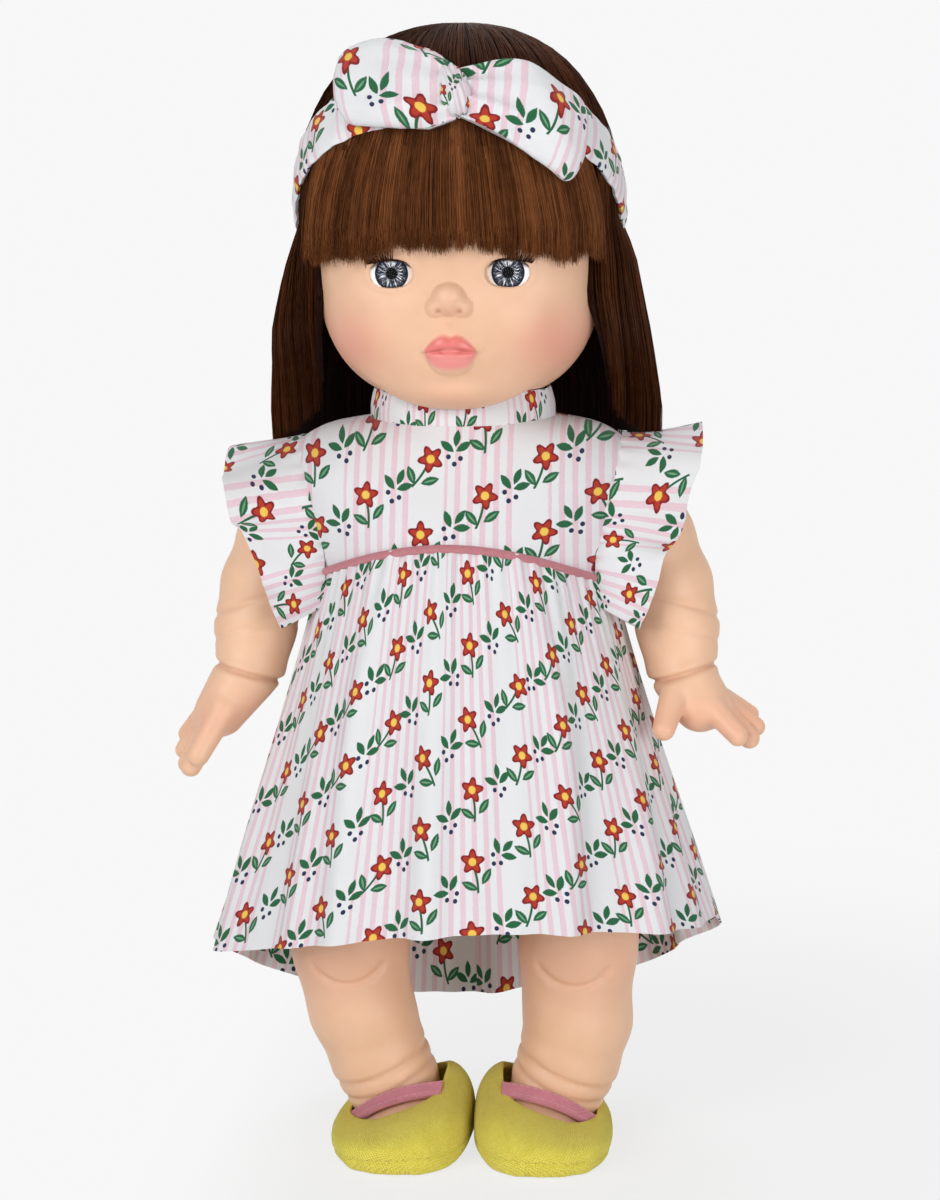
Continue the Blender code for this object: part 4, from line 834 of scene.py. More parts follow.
def head_shell():
    """The vinyl head, with its face, eye openings and a flat underside over the collar."""
    spread = np.linspace(-1, 1, 361)[:-1]
    angle = np.pi * (0.36 * spread + 0.64 * spread**3)
    # Bands of rings: start, end and number, closest over the face
    bands = ((-90, -74, 12), (-74, -5, 165), (-5, 90, 30))
    tilt = np.radians(np.concatenate([np.linspace(a, b, n, endpoint=False) for a, b, n in bands] + [[89.9]]))
    tilt[0] = np.radians(-89.9)
    z = HEAD_Z + HEAD_HALF[2] * np.sin(tilt)[:, None] * np.ones_like(angle)[None, :]
    reach = head_reach(z)
    plan_x, plan_y = head_outline(angle)
    x, y = plan_x[None, :] * reach, plan_y[None, :] * reach
    front = soften(-y, 4, 16)
    edge = eye_edge(x, z)
    facing = front > 0
    snap = facing & (edge < 0) & (edge > -EYE_SNAP)
    pull = np.where(snap, 1 / np.maximum(1 + edge, 0.5), 1)
    eye_x = np.sign(x) * EYE_X
    x = eye_x + (x - eye_x) * pull
    z = EYE_Z + (z - EYE_Z) * pull
    y = y - front * face_relief(x, z)
    y = y + EYE_RECESS * (facing & (edge <= -EYE_SNAP))
    z = z - 3.6 * soften(z, 249, 236) * np.exp(-((x / 27) ** 4)) * soften(-y, 20, 31)
    base = np.hypot(x, y) < SEAT_RADIUS
    z = np.where(base & (z < HEAD_Z), np.maximum(z, SEAT_Z), z)
    flat, faces, _ = capped(np.stack([x, y, z], -1))
    side = np.abs(x)
    top, parting, bottom = lip_lines(x)
    width = soften(side, LIP_HALF + 0.3, LIP_HALF - 0.7)
    lips = np.clip((top - z) / 1.5 + 0.5, 0, 1) * np.clip((z - bottom) / 1.5 + 0.5, 0, 1) * width * facing
    slit = np.hypot(x / 3.1, (z - parting) / 1.05)
    # Painted shade: darker in the mouth's opening, along its parting to the corners, in the nostrils and on
    # the forehead under the fringe, over a slight darkening of the whole face.
    dark = 0.24 * bell((slit - 1) / 0.28) * soften(z, 246.0, 247.2)
    dark += 0.22 * bell((z - parting) / 0.35) * soften(side, 2.4, 3.6) * soften(side, 9.2, 7.6)
    dark += 0.45 * bell((side - NOSTRIL_X) / 0.75, (z - 258.4) / 0.55)
    dark += 0.035 + 0.045 * soften(z, 262, 274)
    marks = {
        "lips": lips,
        "lower": np.maximum(soften(parting - z, 0, 2.5), soften(slit, 1.1, 0.5)),
        "blush": swells(side, z, FACE_BLUSH) * facing,
        "shade": np.clip(dark, 0, 1) * facing,
    }
    marks = {name: np.append(values, (0, 0)) for name, values in marks.items()}
    fit(piece("vinyl_head", flat, faces, SKIN, marks=marks), "head_shell", "head")


# Eyes


EYE_RADIUS = 8.5
IRIS_RADIUS = 4.75
IRIS_DISH = 0.35
CORNEA_SWELL = 0.35
CORNEA_WALL = 0.22
IRIS_SEAT = math.asin(IRIS_RADIUS / EYE_RADIUS)
LID_LIFT, LID_FALL = 25.5, 8.0


def eye_middle(side):
    """Centre of a ball, in millimetres about the doll's axis."""
    centre = (np.array(JOINTS[f"{side}_eye_close"]["pos_m"]) - AXIS) / MM
    return np.array([math.copysign(EYE_X, centre[0]), centre[1], centre[2]])


def turned(profile, centre, columns=72):
    """A grid of points: a profile of (radius, forward) turned about the line of sight."""
    around = ring(columns)
    radius, ahead = np.array(profile, float).T
    x = radius[:, None] * np.cos(around)
    z = radius[:, None] * np.sin(around)
    return np.stack([x, -ahead[:, None] * np.ones_like(x), z], -1) + centre


def eyeball(side, centre):
    """The white ball with its painted lid, and a seat for the iris in front."""
    arc = np.linspace(IRIS_SEAT, math.pi - 0.02, 60)
    bulge = [(EYE_RADIUS * math.sin(a), EYE_RADIUS * math.cos(a)) for a in arc]
    deep = EYE_RADIUS * math.cos(IRIS_SEAT) - 0.7
    profile = [(0.05, deep), (IRIS_RADIUS - 0.05, deep), *bulge]
    flat, faces, _ = capped(turned(profile, centre), flip=True)
    gap = flat - centre
    lift = np.degrees(np.arctan2(gap[:, 2], -gap[:, 1]))
    lid_line = LID_LIFT - LID_FALL * (gap[:, 0] / 6.0) ** 2
    behind = (gap[:, 1] > 4) & (gap[:, 2] < 4)
    lid = np.clip((lift - lid_line) / 1.5, 0, 1) * ~behind
    line = bell((lift - lid_line + 1.5) / 4.5) * ~behind * (np.abs(gap[:, 0]) < 7.5)
    made = piece(f"{side}_eye_white", flat, faces, EYE_WHITE, marks={"lid": lid, "line": line})
    fit(made, f"{side}_eyeball", f"{side}_eye")


def iris(side, centre):
    """A dished disc with the printed rays; its flat coordinates are (turn, radius)."""
    deep = math.sqrt(EYE_RADIUS**2 - IRIS_RADIUS**2) - 0.25
    radii = np.linspace(IRIS_RADIUS - 0.1, 0.02, 26)
    front = [(r, deep - IRIS_DISH * (1 - (r / IRIS_RADIUS) ** 2)) for r in radii]
    profile = [(0.02, deep - 0.42), (IRIS_RADIUS - 0.1, deep - 0.3), *front]
    points = turned(profile, centre)
    rows, columns = points.shape[:2]
    around = np.linspace(0, 2 * np.pi, columns + 1)[None, :] * np.ones((rows, 1))
    out = np.array([r for r, _ in profile])[:, None] * np.ones((1, columns + 1))
    flat, faces, places = capped(points)
    uv = capped_flat(np.stack([around, out], -1), places)
    made = piece(f"{side}_iris_print", flat, faces, IRIS, uv=uv)
    fit(made, f"{side}_iris", f"{side}_eye")


def cornea(side, centre):
    """A clear cap that carries the ball's curve over the iris, a little fuller."""
    arc = np.linspace(0.004, IRIS_SEAT, 20)
    wide = (EYE_RADIUS + 0.05) * np.sin(arc)
    ahead = EYE_RADIUS * np.cos(arc) + CORNEA_SWELL * (1 - (arc / IRIS_SEAT) ** 2)
    outer = list(zip(wide, ahead))
    inner = [(r * 0.985, front - CORNEA_WALL) for r, front in outer[::-1]]
    flat, faces, _ = capped(turned([*outer, *inner], centre), flip=True)
    made = piece(f"{side}_cornea_cap", flat, faces, CLEAR)
    fit(made, f"{side}_cornea", f"{side}_eye")


def lashes(side, sign, centre):
    """Rooted lashes along the lid line, fanned out and curled up."""
    draw = np.random.default_rng(11)
    paths, girths = [], []
    for share in np.linspace(-1, 1, 64):
        swing = math.radians(46 * share)
        lift = math.radians(24.5 - 9.5 * share * share)
        root = np.array([math.sin(swing), -math.cos(swing) * math.cos(lift), math.sin(lift)]) * EYE_RADIUS
        long = 3.6 + 0.9 * draw.random() + 0.5 * sign * share
        way = np.array([0.55 * math.sin(swing) + draw.normal(0, 0.05), -1.0, 0.12])
        t = np.linspace(0, 1, 9)[:, None]
        curl = np.array([0.5 * math.sin(swing), 0.9, 1.0]) * (3.2 + 0.8 * draw.random())
        paths.append(centre + root + way * (long + 0.8) * t + curl * t**2.2)
        girths.append(0.17 * (1 - 0.85 * t[:, 0] ** 1.5))
    made = threads(f"{side}_lash_row", paths, girths, LASH, sides=4, shades=draw.random(len(paths)))
    fit(made, f"{side}_lashes", f"{side}_eye")


def eyes():
    """Both sleep eyes."""
    for side, sign in SIDES:
        centre = eye_middle(side)
        eyeball(side, centre)
        iris(side, centre)
        cornea(side, centre)
        lashes(side, sign, centre)


# Hair


HAIR_LAY = 4.2
WHORL_BACK = 12.0
STRAND_RADIUS = 0.125
FRINGE_FAN = 0.30

# How far the side falls stand off the head, at levels from their tips up
RIGHT_FALL = ((216, 228, 250, 270, 283), (11.5, 11.8, 8.6, 4.8, 0.4))
LEFT_FALL = ((216, 228, 250, 268, 283), (10.6, 11.2, 9.8, 5.4, 0.0))

# Locks: width in degrees, share that they draw together, wander of each strand
LONG_LOCKS = (3.2, 0.5, 0.8)
FRINGE_LOCKS = (2.2, 0.15, 0.7)


def plan_share(x, y, grow):
    """How far out a place is in the plan of the grown head: 1 on its widest outline."""
    power = np.where(y < 0, FACE_POWER, NAPE_POWER)
    return rounded(np.abs(x) / (HEAD_HALF[0] + grow), np.abs(y) / (HEAD_HALF[1] + grow), power)


def fall_shape(angle, height):
    """Turn about the axis and stand-off of hanging hair, below the head's widest part."""
    side = np.abs(angle)
    sideways = soften(side, 50 * DEGREE, 85 * DEGREE)
    behind = soften(side, 105 * DEGREE, 150 * DEGREE)
    stand = np.where(angle > 0, np.interp(height, *RIGHT_FALL), np.interp(height, *LEFT_FALL))
    drift = 10 * DEGREE * soften(height, 266, 234) * (1 - sideways)
    return angle + np.sign(angle) * drift, stand * sideways * (1 - 0.85 * behind)


def hair_lines(angle, inset, tips, start, end, count, hang, fan=0.0):
    """Combed lines from the whorl over the head and then down, fanned out from their roots.

    They come as an array of strands by points, count of them over the head and hang below.
    """
    shape = np.shape(angle)
    values = [np.asarray(value, float) for value in (angle, inset, tips, start, end)]
    angle, inset, tips, start, end = [np.broadcast_to(value, shape)[:, None] for value in values]
    angle = (angle + np.pi) % (2 * np.pi) - np.pi
    grow = HAIR_LAY - inset
    edge_x, edge_y = head_outline(angle * (1 - fan * np.linspace(1, 0, count)), grow)
    over = np.sin(start + (end - start) * np.linspace(0, 1, count))
    x = edge_x * over
    y = WHORL_BACK + (edge_y - WHORL_BACK) * over
    lift = np.maximum(1 - plan_share(x, y, grow) ** TOP_POWER, 0) ** (1 / TOP_POWER)
    lines = np.stack([x, y, HEAD_Z + (HEAD_HALF[2] + grow) * lift], -1)
    if not hang:
        return lines
    low = HEAD_Z + (tips - HEAD_Z) * np.linspace(0, 1, hang + 1)[1:]
    turn, stand = fall_shape(angle, low)
    x, y = head_outline(turn, grow + stand)
    y = y + np.maximum(2.0 + inset - y, 0) * soften(low, 262, 228) * (np.abs(angle) > 45 * DEGREE)
    return np.concatenate([lines, np.stack([x, y, low], -1)], 1)


def combed(lines, angle, draw, locks):
    """Draws strands together into locks towards their tips and lets each wander a little."""
    lock, pull, wander = locks
    along = np.linspace(0, 1, lines.shape[1])[None, :, None]
    group = np.floor(angle / (lock * DEGREE) + 0.35 * np.sin(angle * 9)).astype(int)
    for number in np.unique(group):
        members = group == number
        middle = lines[members].mean(0, keepdims=True)
        lines[members] += pull * along**1.5 * (middle - lines[members])
        lines[members] += draw.normal(0, 0.45, 3) * along**2
    sideways = np.stack([np.cos(angle), np.sin(angle), 0 * angle], -1)[:, None, :]
    outward = np.stack([np.sin(angle), -np.cos(angle), 0 * angle], -1)[:, None, :]
    phase = draw.random((len(angle), 1, 1)) * 2 * np.pi
    rate = 3.0 + 4.0 * draw.random((len(angle), 1, 1))
    sway = np.sin(along * rate + phase) * along
    lines += sideways * sway * wander + outward * np.cos(along * rate * 1.3 + phase) * along * wander * 0.35
    return lines


def hair_strands(name, node, number, span, tips, arc, points, depth, seed, locks=LONG_LOCKS, finish=HAIR):
    """Loose strands between two angles from the front, over an arc from the whorl and down to their tips."""
    draw = np.random.default_rng(seed)
    angle = (span[0] + (span[1] - span[0]) * draw.random(number)) * DEGREE
    inset = depth * draw.random(number) ** 1.5
    drop = tips(angle) + draw.normal(0, 0.9, number) + 1.2 * inset / depth
    begin = arc[0] * DEGREE + draw.normal(0, 2.0, number) * DEGREE
    lines = hair_lines(angle, inset, drop, np.maximum(begin, 0.03), arc[1] * DEGREE, *points)
    lines = combed(lines, angle, draw, locks)
    taper = STRAND_RADIUS * (1 - 0.75 * np.linspace(0, 1, lines.shape[1]) ** 3)
    bands = np.sin(angle * 23) * np.sin(angle * 9 + 1)
    shade = np.clip(draw.normal(0.30, 0.28, number) + 0.32 * bands, 0, 1)
    made = threads(name, list(lines), [taper] * number, finish, sides=3, shades=shade)
    fit(made, node, "head")


def hair_base(name, columns, span, tips, arc, points, inset, thickness, shorter=0.0):
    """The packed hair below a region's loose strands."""
    angle = np.linspace(*span, columns) * DEGREE
    start, end = arc
    lines = hair_lines(angle, inset, tips(angle) + shorter, start * DEGREE, end * DEGREE, *points)
    faces, _ = grid_faces(*lines.shape[:2])
    made = piece(name, lines.reshape(-1, 3), faces, HAIR_UNDER)
    shell(made, thickness, -1.0)
    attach(made, "head")


def fringe_tips(angle):
    """Level of the fringe's tips."""
    side = soften(np.abs(angle), 6 * DEGREE, 38 * DEGREE)
    return 276.0 - 3.4 * side + 0.7 * np.sin(angle * 17) + 0.6 * np.sin(angle * 47 + 1)


def side_tips(angle):
    """Level of the side falls' tips, feathered towards the face."""
    side = np.abs(angle)
    feather = 30 * soften(side, 67 * DEGREE, 55 * DEGREE) * (0.5 + 0.5 * np.sin(angle * 1931)) ** 2
    return 222.0 - 7.0 * soften(side, 60 * DEGREE, 84 * DEGREE) + 1.0 * np.sin(side * 11) + feather


def packed_tips(angle):
    """Level of the side falls' packed hair."""
    side = np.abs(angle)
    feather = 9.0 * soften(side, 66 * DEGREE, 55 * DEGREE)
    return 225.0 - 7.0 * soften(side, 60 * DEGREE, 84 * DEGREE) + feather


def back_tips(angle):
    """Level of the back fall's tips, longer beside the nape."""
    nape = soften(np.abs(angle - np.pi), 33 * DEGREE, 42 * DEGREE)
    return 220.6 - 7.6 * nape + 0.8 * np.sin(angle * 13)


def flat_tips(angle):
    """Hair that ends at the head's widest level."""
    return HEAD_Z + 0 * angle


def hair():
    """Five regions, each of packed hair under loose strands."""
    whole, front, back = (-180, 180), (-58, 58), (123, 237)
    hair_base("crown_packed", 97, whole, flat_tips, (2, 86), (24, 0), 1.6, 1.0)
    hair_base("fringe_packed", 41, (-57, 57), fringe_tips, (56, 90), (10, 4, FRINGE_FAN), 2.0, 1.2, 2.0)
    hair_strands("crown_hair", "hair_crown", 2450, whole, flat_tips, (4, 74), (12, 0), 1.2, 21)
    for seed in (22, 29):
        name, points = f"fringe_hair_{seed}", (7, 4, FRINGE_FAN)
        strands = (name, "hair_fringe", 2900, front, fringe_tips, (57, 90), points, 2.0, seed)
        # The fringe strands take the lighter copy of the hair fibre: painted light.
        hair_strands(*strands, FRINGE_LOCKS, LIT_FRINGE_HAIR)
    for side, sign in SIDES:
        span = (sign * 55, sign * 125)
        hair_base(f"{side}_fall_packed", 25, sorted(span), packed_tips, (60, 90), (8, 10), 3.0, 2.6)
        strands = (f"{side}_fall_hair", f"hair_{side}", 1600, span, side_tips, (52, 90), (7, 11))
        hair_strands(*strands, 3.4, 23 + sign)
    hair_base("back_fall_packed", 33, (122, 238), back_tips, (50, 90), (10, 12), 3.0, 2.6, 1.5)
    hair_strands("back_fall_hair", "hair_back", 1620, back, back_tips, (40, 90), (8, 11), 3.0, 27)


# Headband and its tied bow


BAND_TILT = 36 * DEGREE
BAND_RISE = 3.5
BAND_HALF = 8.0
BAND_LAY = 5.5
BAND_TUCK = 3.6
BAND_RADIUS = 54.0
BOW_ASIDE = 2.0
BOW_LAY = 6.6
KNOT_LAY = 7.0
KNOT_SLANT = 0.30
KNOT_HALF = (5.0, 5.6, 8.4)
BOW_ENDS = {
    "left": {
        "swing": 0.20, "root": -0.5, "long": 33.5, "thick": 4.6, "sag": -0.02, "seed": 0.4,
        "widths": (7.0, 11.2, 12.6, 13.0, 12.8, 12.0),
    },
    "right": {
        "swing": -0.10, "root": 0.5, "long": 40.5, "thick": 4.0, "sag": 0.20, "seed": 2.1,
        "widths": (6.5, 9.5, 11.5, 13.0, 14.2, 14.2),
    },
}
ACROSS = np.array([1.0, 0.0, 0.0])
AHEAD = np.array([0.0, -math.cos(BAND_TILT), math.sin(BAND_TILT)])
UPWARD = np.array([0.0, math.sin(BAND_TILT), math.cos(BAND_TILT)])
BAND_MIDDLE = np.array([0.0, 0.0, HEAD_Z + BAND_RISE])


def head_share(place, grow):
    """Below 1 inside the grown head."""
    lift = np.abs(place[..., 2] - HEAD_Z) / (HEAD_HALF[2] + grow)
    power = np.where(place[..., 2] > HEAD_Z, TOP_POWER, LOW_POWER)
    return rounded(plan_share(place[..., 0], place[..., 1], grow), lift, power)


def on_head(start, way, grow):
    """Places where rays from inside the grown head leave it."""
    near = np.zeros(np.broadcast(start, way).shape[:-1])
    far = near + 120.0
    for _ in range(26):
        middle = (near + far) / 2
        inside = head_share(start + way * middle[..., None], grow) < 1
        near = np.where(inside, middle, near)
        far = np.where(inside, far, middle)
    return start + way * near[..., None]


def cloth(name, points, flat, thickness, finish, closed=True, keep=None, sway=None):
    """Cloth over a grid of points with rows from the low edge up, and their flat places in millimetres."""
    rows, columns = points.shape[:2]
    faces, places = grid_faces(rows, columns, closed)
    uv = flat.reshape(-1, 2)[places].reshape(-1, 4, 2)
    if keep is not None:
        wanted = keep.reshape(-1)[faces].all(1)
        faces, uv = faces[wanted], uv[wanted]
    marks = {} if sway is None else {"sway": sway}
    made = piece(name, points.reshape(-1, 3), faces, finish, uv=uv.reshape(-1, 2), marks=marks)
    loose = np.setdiff1d(np.arange(rows * columns), faces)
    if len(loose):
        drop_points(made.data, loose)
    return shell(made, thickness)


def sway_between(obj):
    """Bakes a cloth's placement into its mesh and reads the sway share that its points carry."""
    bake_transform(obj)
    shares = np.zeros(len(obj.data.vertices), np.float32)
    obj.data.attributes["sway"].data.foreach_get("value", shares)


def drop_points(mesh, loose):
    """Takes out points that no face uses."""
    edit = bmesh.new()
    edit.from_mesh(mesh)
    edit.verts.ensure_lookup_table()
    bmesh.ops.delete(edit, geom=[edit.verts[int(i)] for i in loose], context="VERTS")
    edit.to_mesh(mesh)
    edit.free()


def headband():
    """A folded strip over the hair, lightly puckered, with its ends tucked under the side hair."""
    turn = np.linspace(-116, 116, 233) * DEGREE
    rows = np.linspace(-1, 1, 25)
    around, across = np.meshgrid(turn, rows)
    tuck = soften(np.abs(around), 88 * DEGREE, 104 * DEGREE)
    narrow = 1 - 0.28 * bell(around / 0.10) - 0.06 * tuck
    pucker = 0.35 * np.sin(around * 31 + 2.5 * across) + 0.25 * np.sin(around * 53 - 3 * across + 1)
    gather = bell(around / 0.22) * 0.7 * np.sin(across * 11)
    roll = -0.9 * np.abs(across) ** 6
    grow = BAND_LAY + (1 - tuck) * (0.5 * pucker + gather + roll) - BAND_TUCK * tuck
    way = ACROSS * np.sin(around)[..., None] + AHEAD * np.cos(around)[..., None]
    start = BAND_MIDDLE + UPWARD * (BAND_HALF * across * narrow)[..., None]
    points = on_head(start, way, grow)
    flat = np.stack([around * BAND_RADIUS, across * BAND_HALF * 1.05], -1)
    made = cloth("headband_cloth", points, flat, 0.9, PRINT, closed=False)
    fit(made, "headband", "head")


def tied_end(side, sign, swing, root, long, widths, thick, sag, seed):
    """A puffed tie end that lies over the band, gathered at the knot and rounded at its tip."""
    rows, columns = 56, 64
    share = np.linspace(0, 1, rows)[:, None]
    round_tip = np.sqrt(np.maximum(1 - np.maximum((share - 0.80) / 0.2, 0) ** 2.6, 0)) * 0.985 + 0.015
    wide = np.interp(share, np.linspace(0, 1, len(widths)), widths) * round_tip
    full = thick * np.sin(np.clip(share / 0.45, 0, 1) * np.pi / 2) ** 0.8 * round_tip + 0.6
    beta = ring(columns)[None, :]
    edge = np.sign(np.cos(beta)) * np.abs(np.cos(beta)) ** 0.75
    puff = np.sin(beta)
    along = long * share + 0 * beta
    gathers = (1 - 2 * np.abs(np.sin(edge * 5.2 + seed))) * 1.5 * np.exp(-share * 2.8) * (puff > 0)
    soft = 1.0 * np.sin(along * 0.24 + edge * 2.6 + seed) * np.sin(np.pi * share**0.7) * (puff > 0)
    height = BOW_LAY + full * (np.where(puff > 0, 1.0, 0.28) * puff + 0.28) + gathers + soft
    a = root + along
    b = wide * edge - sag * share**2 * long
    sideways = math.cos(swing) * a + 0 * b
    lengthways = math.sin(swing) * a + b
    reach = 48.0
    way = AHEAD * reach + ACROSS * (sign * sideways + BOW_ASIDE)[..., None] + UPWARD * lengthways[..., None]
    way = way / np.linalg.norm(way, axis=-1, keepdims=True)
    points = on_head(BAND_MIDDLE + 0 * way, way, height)
    wrap = np.linspace(0, 2 * np.pi, columns + 1)[None, :]
    spread = wide * np.cos(wrap) * 1.1 + np.where(np.sin(wrap) < 0, 60, 0)
    table = np.stack([a[:, :1] + 0 * wrap, spread], -1)
    flat, faces, places = capped(points, flip=sign < 0)
    uv = capped_flat(table, places, table[-1, 0], flip=sign < 0)
    made = piece(f"bow_{side}_end", flat, faces, PRINT, uv=uv)
    fit(made, f"bow_{side}", "head")


def knot():
    """The wrapped centre of the bow, with pleats that turn round it."""
    rows, columns = 40, 72
    lean = np.linspace(-88, 88, rows)[:, None] * DEGREE
    turn = ring(columns)[None, :]
    x = np.cos(lean) * np.cos(turn)
    y = np.cos(lean) * np.sin(turn)
    z = np.sin(lean) + 0 * turn
    pleat = 1 + 0.055 * np.sin(11 * x + 5 * z + 0.8) * np.maximum(y, 0) + 0.04 * np.sin(17 * x - 4 * z)
    waist = 1 - 0.12 * bell(z / 0.3)
    seat = on_head(BAND_MIDDLE[None, :], AHEAD[None, :], np.array([KNOT_LAY]))[0]
    slant = ACROSS * math.cos(KNOT_SLANT) + UPWARD * math.sin(KNOT_SLANT)
    upright = UPWARD * math.cos(KNOT_SLANT) - ACROSS * math.sin(KNOT_SLANT)
    axes = [axis * half for axis, half in zip((slant, AHEAD, upright), KNOT_HALF)]
    spots = [(value * pleat)[..., None] * axis for value, axis in zip((x * waist, y, z), axes)]
    points = seat + ACROSS * BOW_ASIDE + sum(spots)
    wrap = np.linspace(0, 2 * np.pi, columns + 1)[None, :]
    across = 8.6 * np.cos(wrap) * np.cos(lean) * 1.4
    table = np.stack([across, 9 * np.sin(lean) * 1.5 + 7 * np.sin(wrap)], -1)
    flat, faces, places = capped(points, flip=True)
    made = piece("bow_wrap", flat, faces, PRINT, uv=capped_flat(table, places, flip=True))
    fit(made, "bow_knot", "head")


def bow():
    """The knot and its two ends."""
    knot()
    for side, sign in SIDES:
        tied_end(side, sign, **BOW_ENDS[side])


# Dress


def smooth_curve(share, knots, values):
    """A curve through values at knots, smooth at each."""
    knots, values = np.array(knots, float), np.array(values, float)
    slopes = np.gradient(values, knots)
    spot = np.clip(np.searchsorted(knots, share, side="right") - 1, 0, len(knots) - 2)
    width = knots[spot + 1] - knots[spot]
    t = np.clip((share - knots[spot]) / width, 0, 1)
    low, high = values[spot], values[spot + 1]
    curve = low * (1 + 2 * t) * (1 - t) ** 2 + high * t * t * (3 - 2 * t)
    return curve + width * (slopes[spot] * t * (1 - t) ** 2 - slopes[spot + 1] * t * t * (1 - t))


BODICE_KNOTS = (0, 0.18, 0.36, 0.66, 1.0)
BODICE_POWER = 2.1

# Reach from the axis, and level, at each knot from the collar to the waist
BODICE_SIDE = ((26.6, 41.2, 50.2, 48.9, 43.2), (225.0, 222.2, 215.6, 199.0, 178.0))
BODICE_FRONT = ((26.6, 31.5, 36.3, 41.0, 44.2), (224.8, 217.5, 208.0, 199.0, 192.0))
BODICE_BACK = ((26.6, 32.0, 36.5, 38.4, 39.2), (225.0, 218.0, 208.0, 194.0, 174.0))

# Armhole: half depth, level of its middle, half height
ARMHOLE = (20.5, 195.8, 21.9)
ARMHOLE_X = 26
ARMHOLE_SNAP = 0.90
WAIST_LEAN = 0.025
COTTON_THICK = 0.7


def bodice_point(angle, down, grow=0.0):
    """A place on the bodice: angle from the front, down from the collar to the waist."""
    s, c = np.sin(angle), np.cos(angle)
    half, side_z = (smooth_curve(down, BODICE_KNOTS, values) for values in BODICE_SIDE)
    front, front_z = (smooth_curve(down, BODICE_KNOTS, values) for values in BODICE_FRONT)
    back, back_z = (smooth_curve(down, BODICE_KNOTS, values) for values in BODICE_BACK)
    depth = np.where(c > 0, front, back) + grow
    level = np.where(c > 0, front_z, back_z)
    z = side_z * s * s + level * c * c - WAIST_LEAN * half * s * down
    power = 2.0 + (BODICE_POWER - 2.0) * soften(down, 0.0, 0.4)
    full = (np.abs(s) ** power + np.abs(c) ** power) ** (-1 / power)
    return np.stack([(half + grow) * s * full, -depth * c * full, z], -1)


def bodice():
    """The bodice, open at the armholes and lightly wrinkled at the sides."""
    turns, rows = 240, 70
    angle, down = np.meshgrid(ring(turns), np.linspace(1, 0, rows))
    points = bodice_point(angle, down)
    wrinkle = 0.35 * np.sin(angle * 9 + 6 * down) * np.sin(np.pi * down) * (1 - 0.6 * np.cos(angle) ** 2)
    points += (points * (1, 1, 0)) / 40 * wrinkle[..., None]
    deep, middle, tall = ARMHOLE
    hole = np.sqrt((points[..., 1] / deep) ** 2 + ((points[..., 2] - middle) / tall) ** 2)
    sideways = np.abs(points[..., 0]) > ARMHOLE_X
    snap = sideways & (hole < 1) & (hole > ARMHOLE_SNAP)
    grow = np.where(snap, 1 / np.maximum(hole, 0.5), 1)
    points[..., 1] *= grow
    points[..., 2] = middle + (points[..., 2] - middle) * grow
    keep = ~(sideways & (hole <= ARMHOLE_SNAP))
    closed = np.concatenate([points, points[:, :1]], 1)
    across = np.where(closed[..., 1] < 0, closed[..., 0], 170 - closed[..., 0])
    flat = np.stack([across, closed[..., 2] - 192], -1)
    made = cloth("bodice_cloth", points, flat, COTTON_THICK, PRINT, keep=keep)
    fit(made, "dress_bodice", "torso")


COLLAR_RADIUS, COLLAR_Z, COLLAR_TALL = 27.2, 224.3, 9.2


def collar():
    """A narrow stand collar."""
    turns, rows = 160, 10
    angle, up = np.meshgrid(ring(turns), np.linspace(0, 1, rows))
    away = COLLAR_RADIUS - 1.3 * up + 0.25 * np.sin(angle * 7) * up + 0.5 * np.sin(np.pi * up)
    points = np.stack([away * np.sin(angle), -away * np.cos(angle), COLLAR_Z + COLLAR_TALL * up], -1)
    wrap = np.linspace(0, 2 * np.pi, turns + 1)[None, :]
    flat = np.stack([wrap * 26.8 * 1.5 + 4 + 0 * up[:, :1], COLLAR_TALL * up[:, :1] + 6 + 0 * wrap], -1)
    made = cloth("collar_cloth", points, flat, 0.9, PRINT)
    fit(made, "dress_collar", "torso")


def waist_line(angle, grow=0.0):
    """The seam between bodice and skirt."""
    return bodice_point(angle, np.ones_like(angle), grow)


PIPING_RADIUS = 1.2


def piping():
    """The covered cord in the waist seam."""
    angle = np.linspace(0, 2 * np.pi, 241)
    path = waist_line(angle, 1.0) - (0, 0, 0.9)
    made = threads("piping_roll", [path], [np.full(len(path), PIPING_RADIUS)], CORD, sides=14)
    fit(made, "waist_piping", "torso")


HEM_HALF = 77.5
HEM_SHIFT = -2.0
HEM_LEAN = 0.057
HEM_FRONT, HEM_BACK = 56.0, 52.0
# Hem at the front, the sides and the back
HEM_LEVELS = (80.2, 67.7, 29.7)
SKIRT_DROP = 112.0
SKIRT_ROWS = 90
SKIRT_TURNS = 480


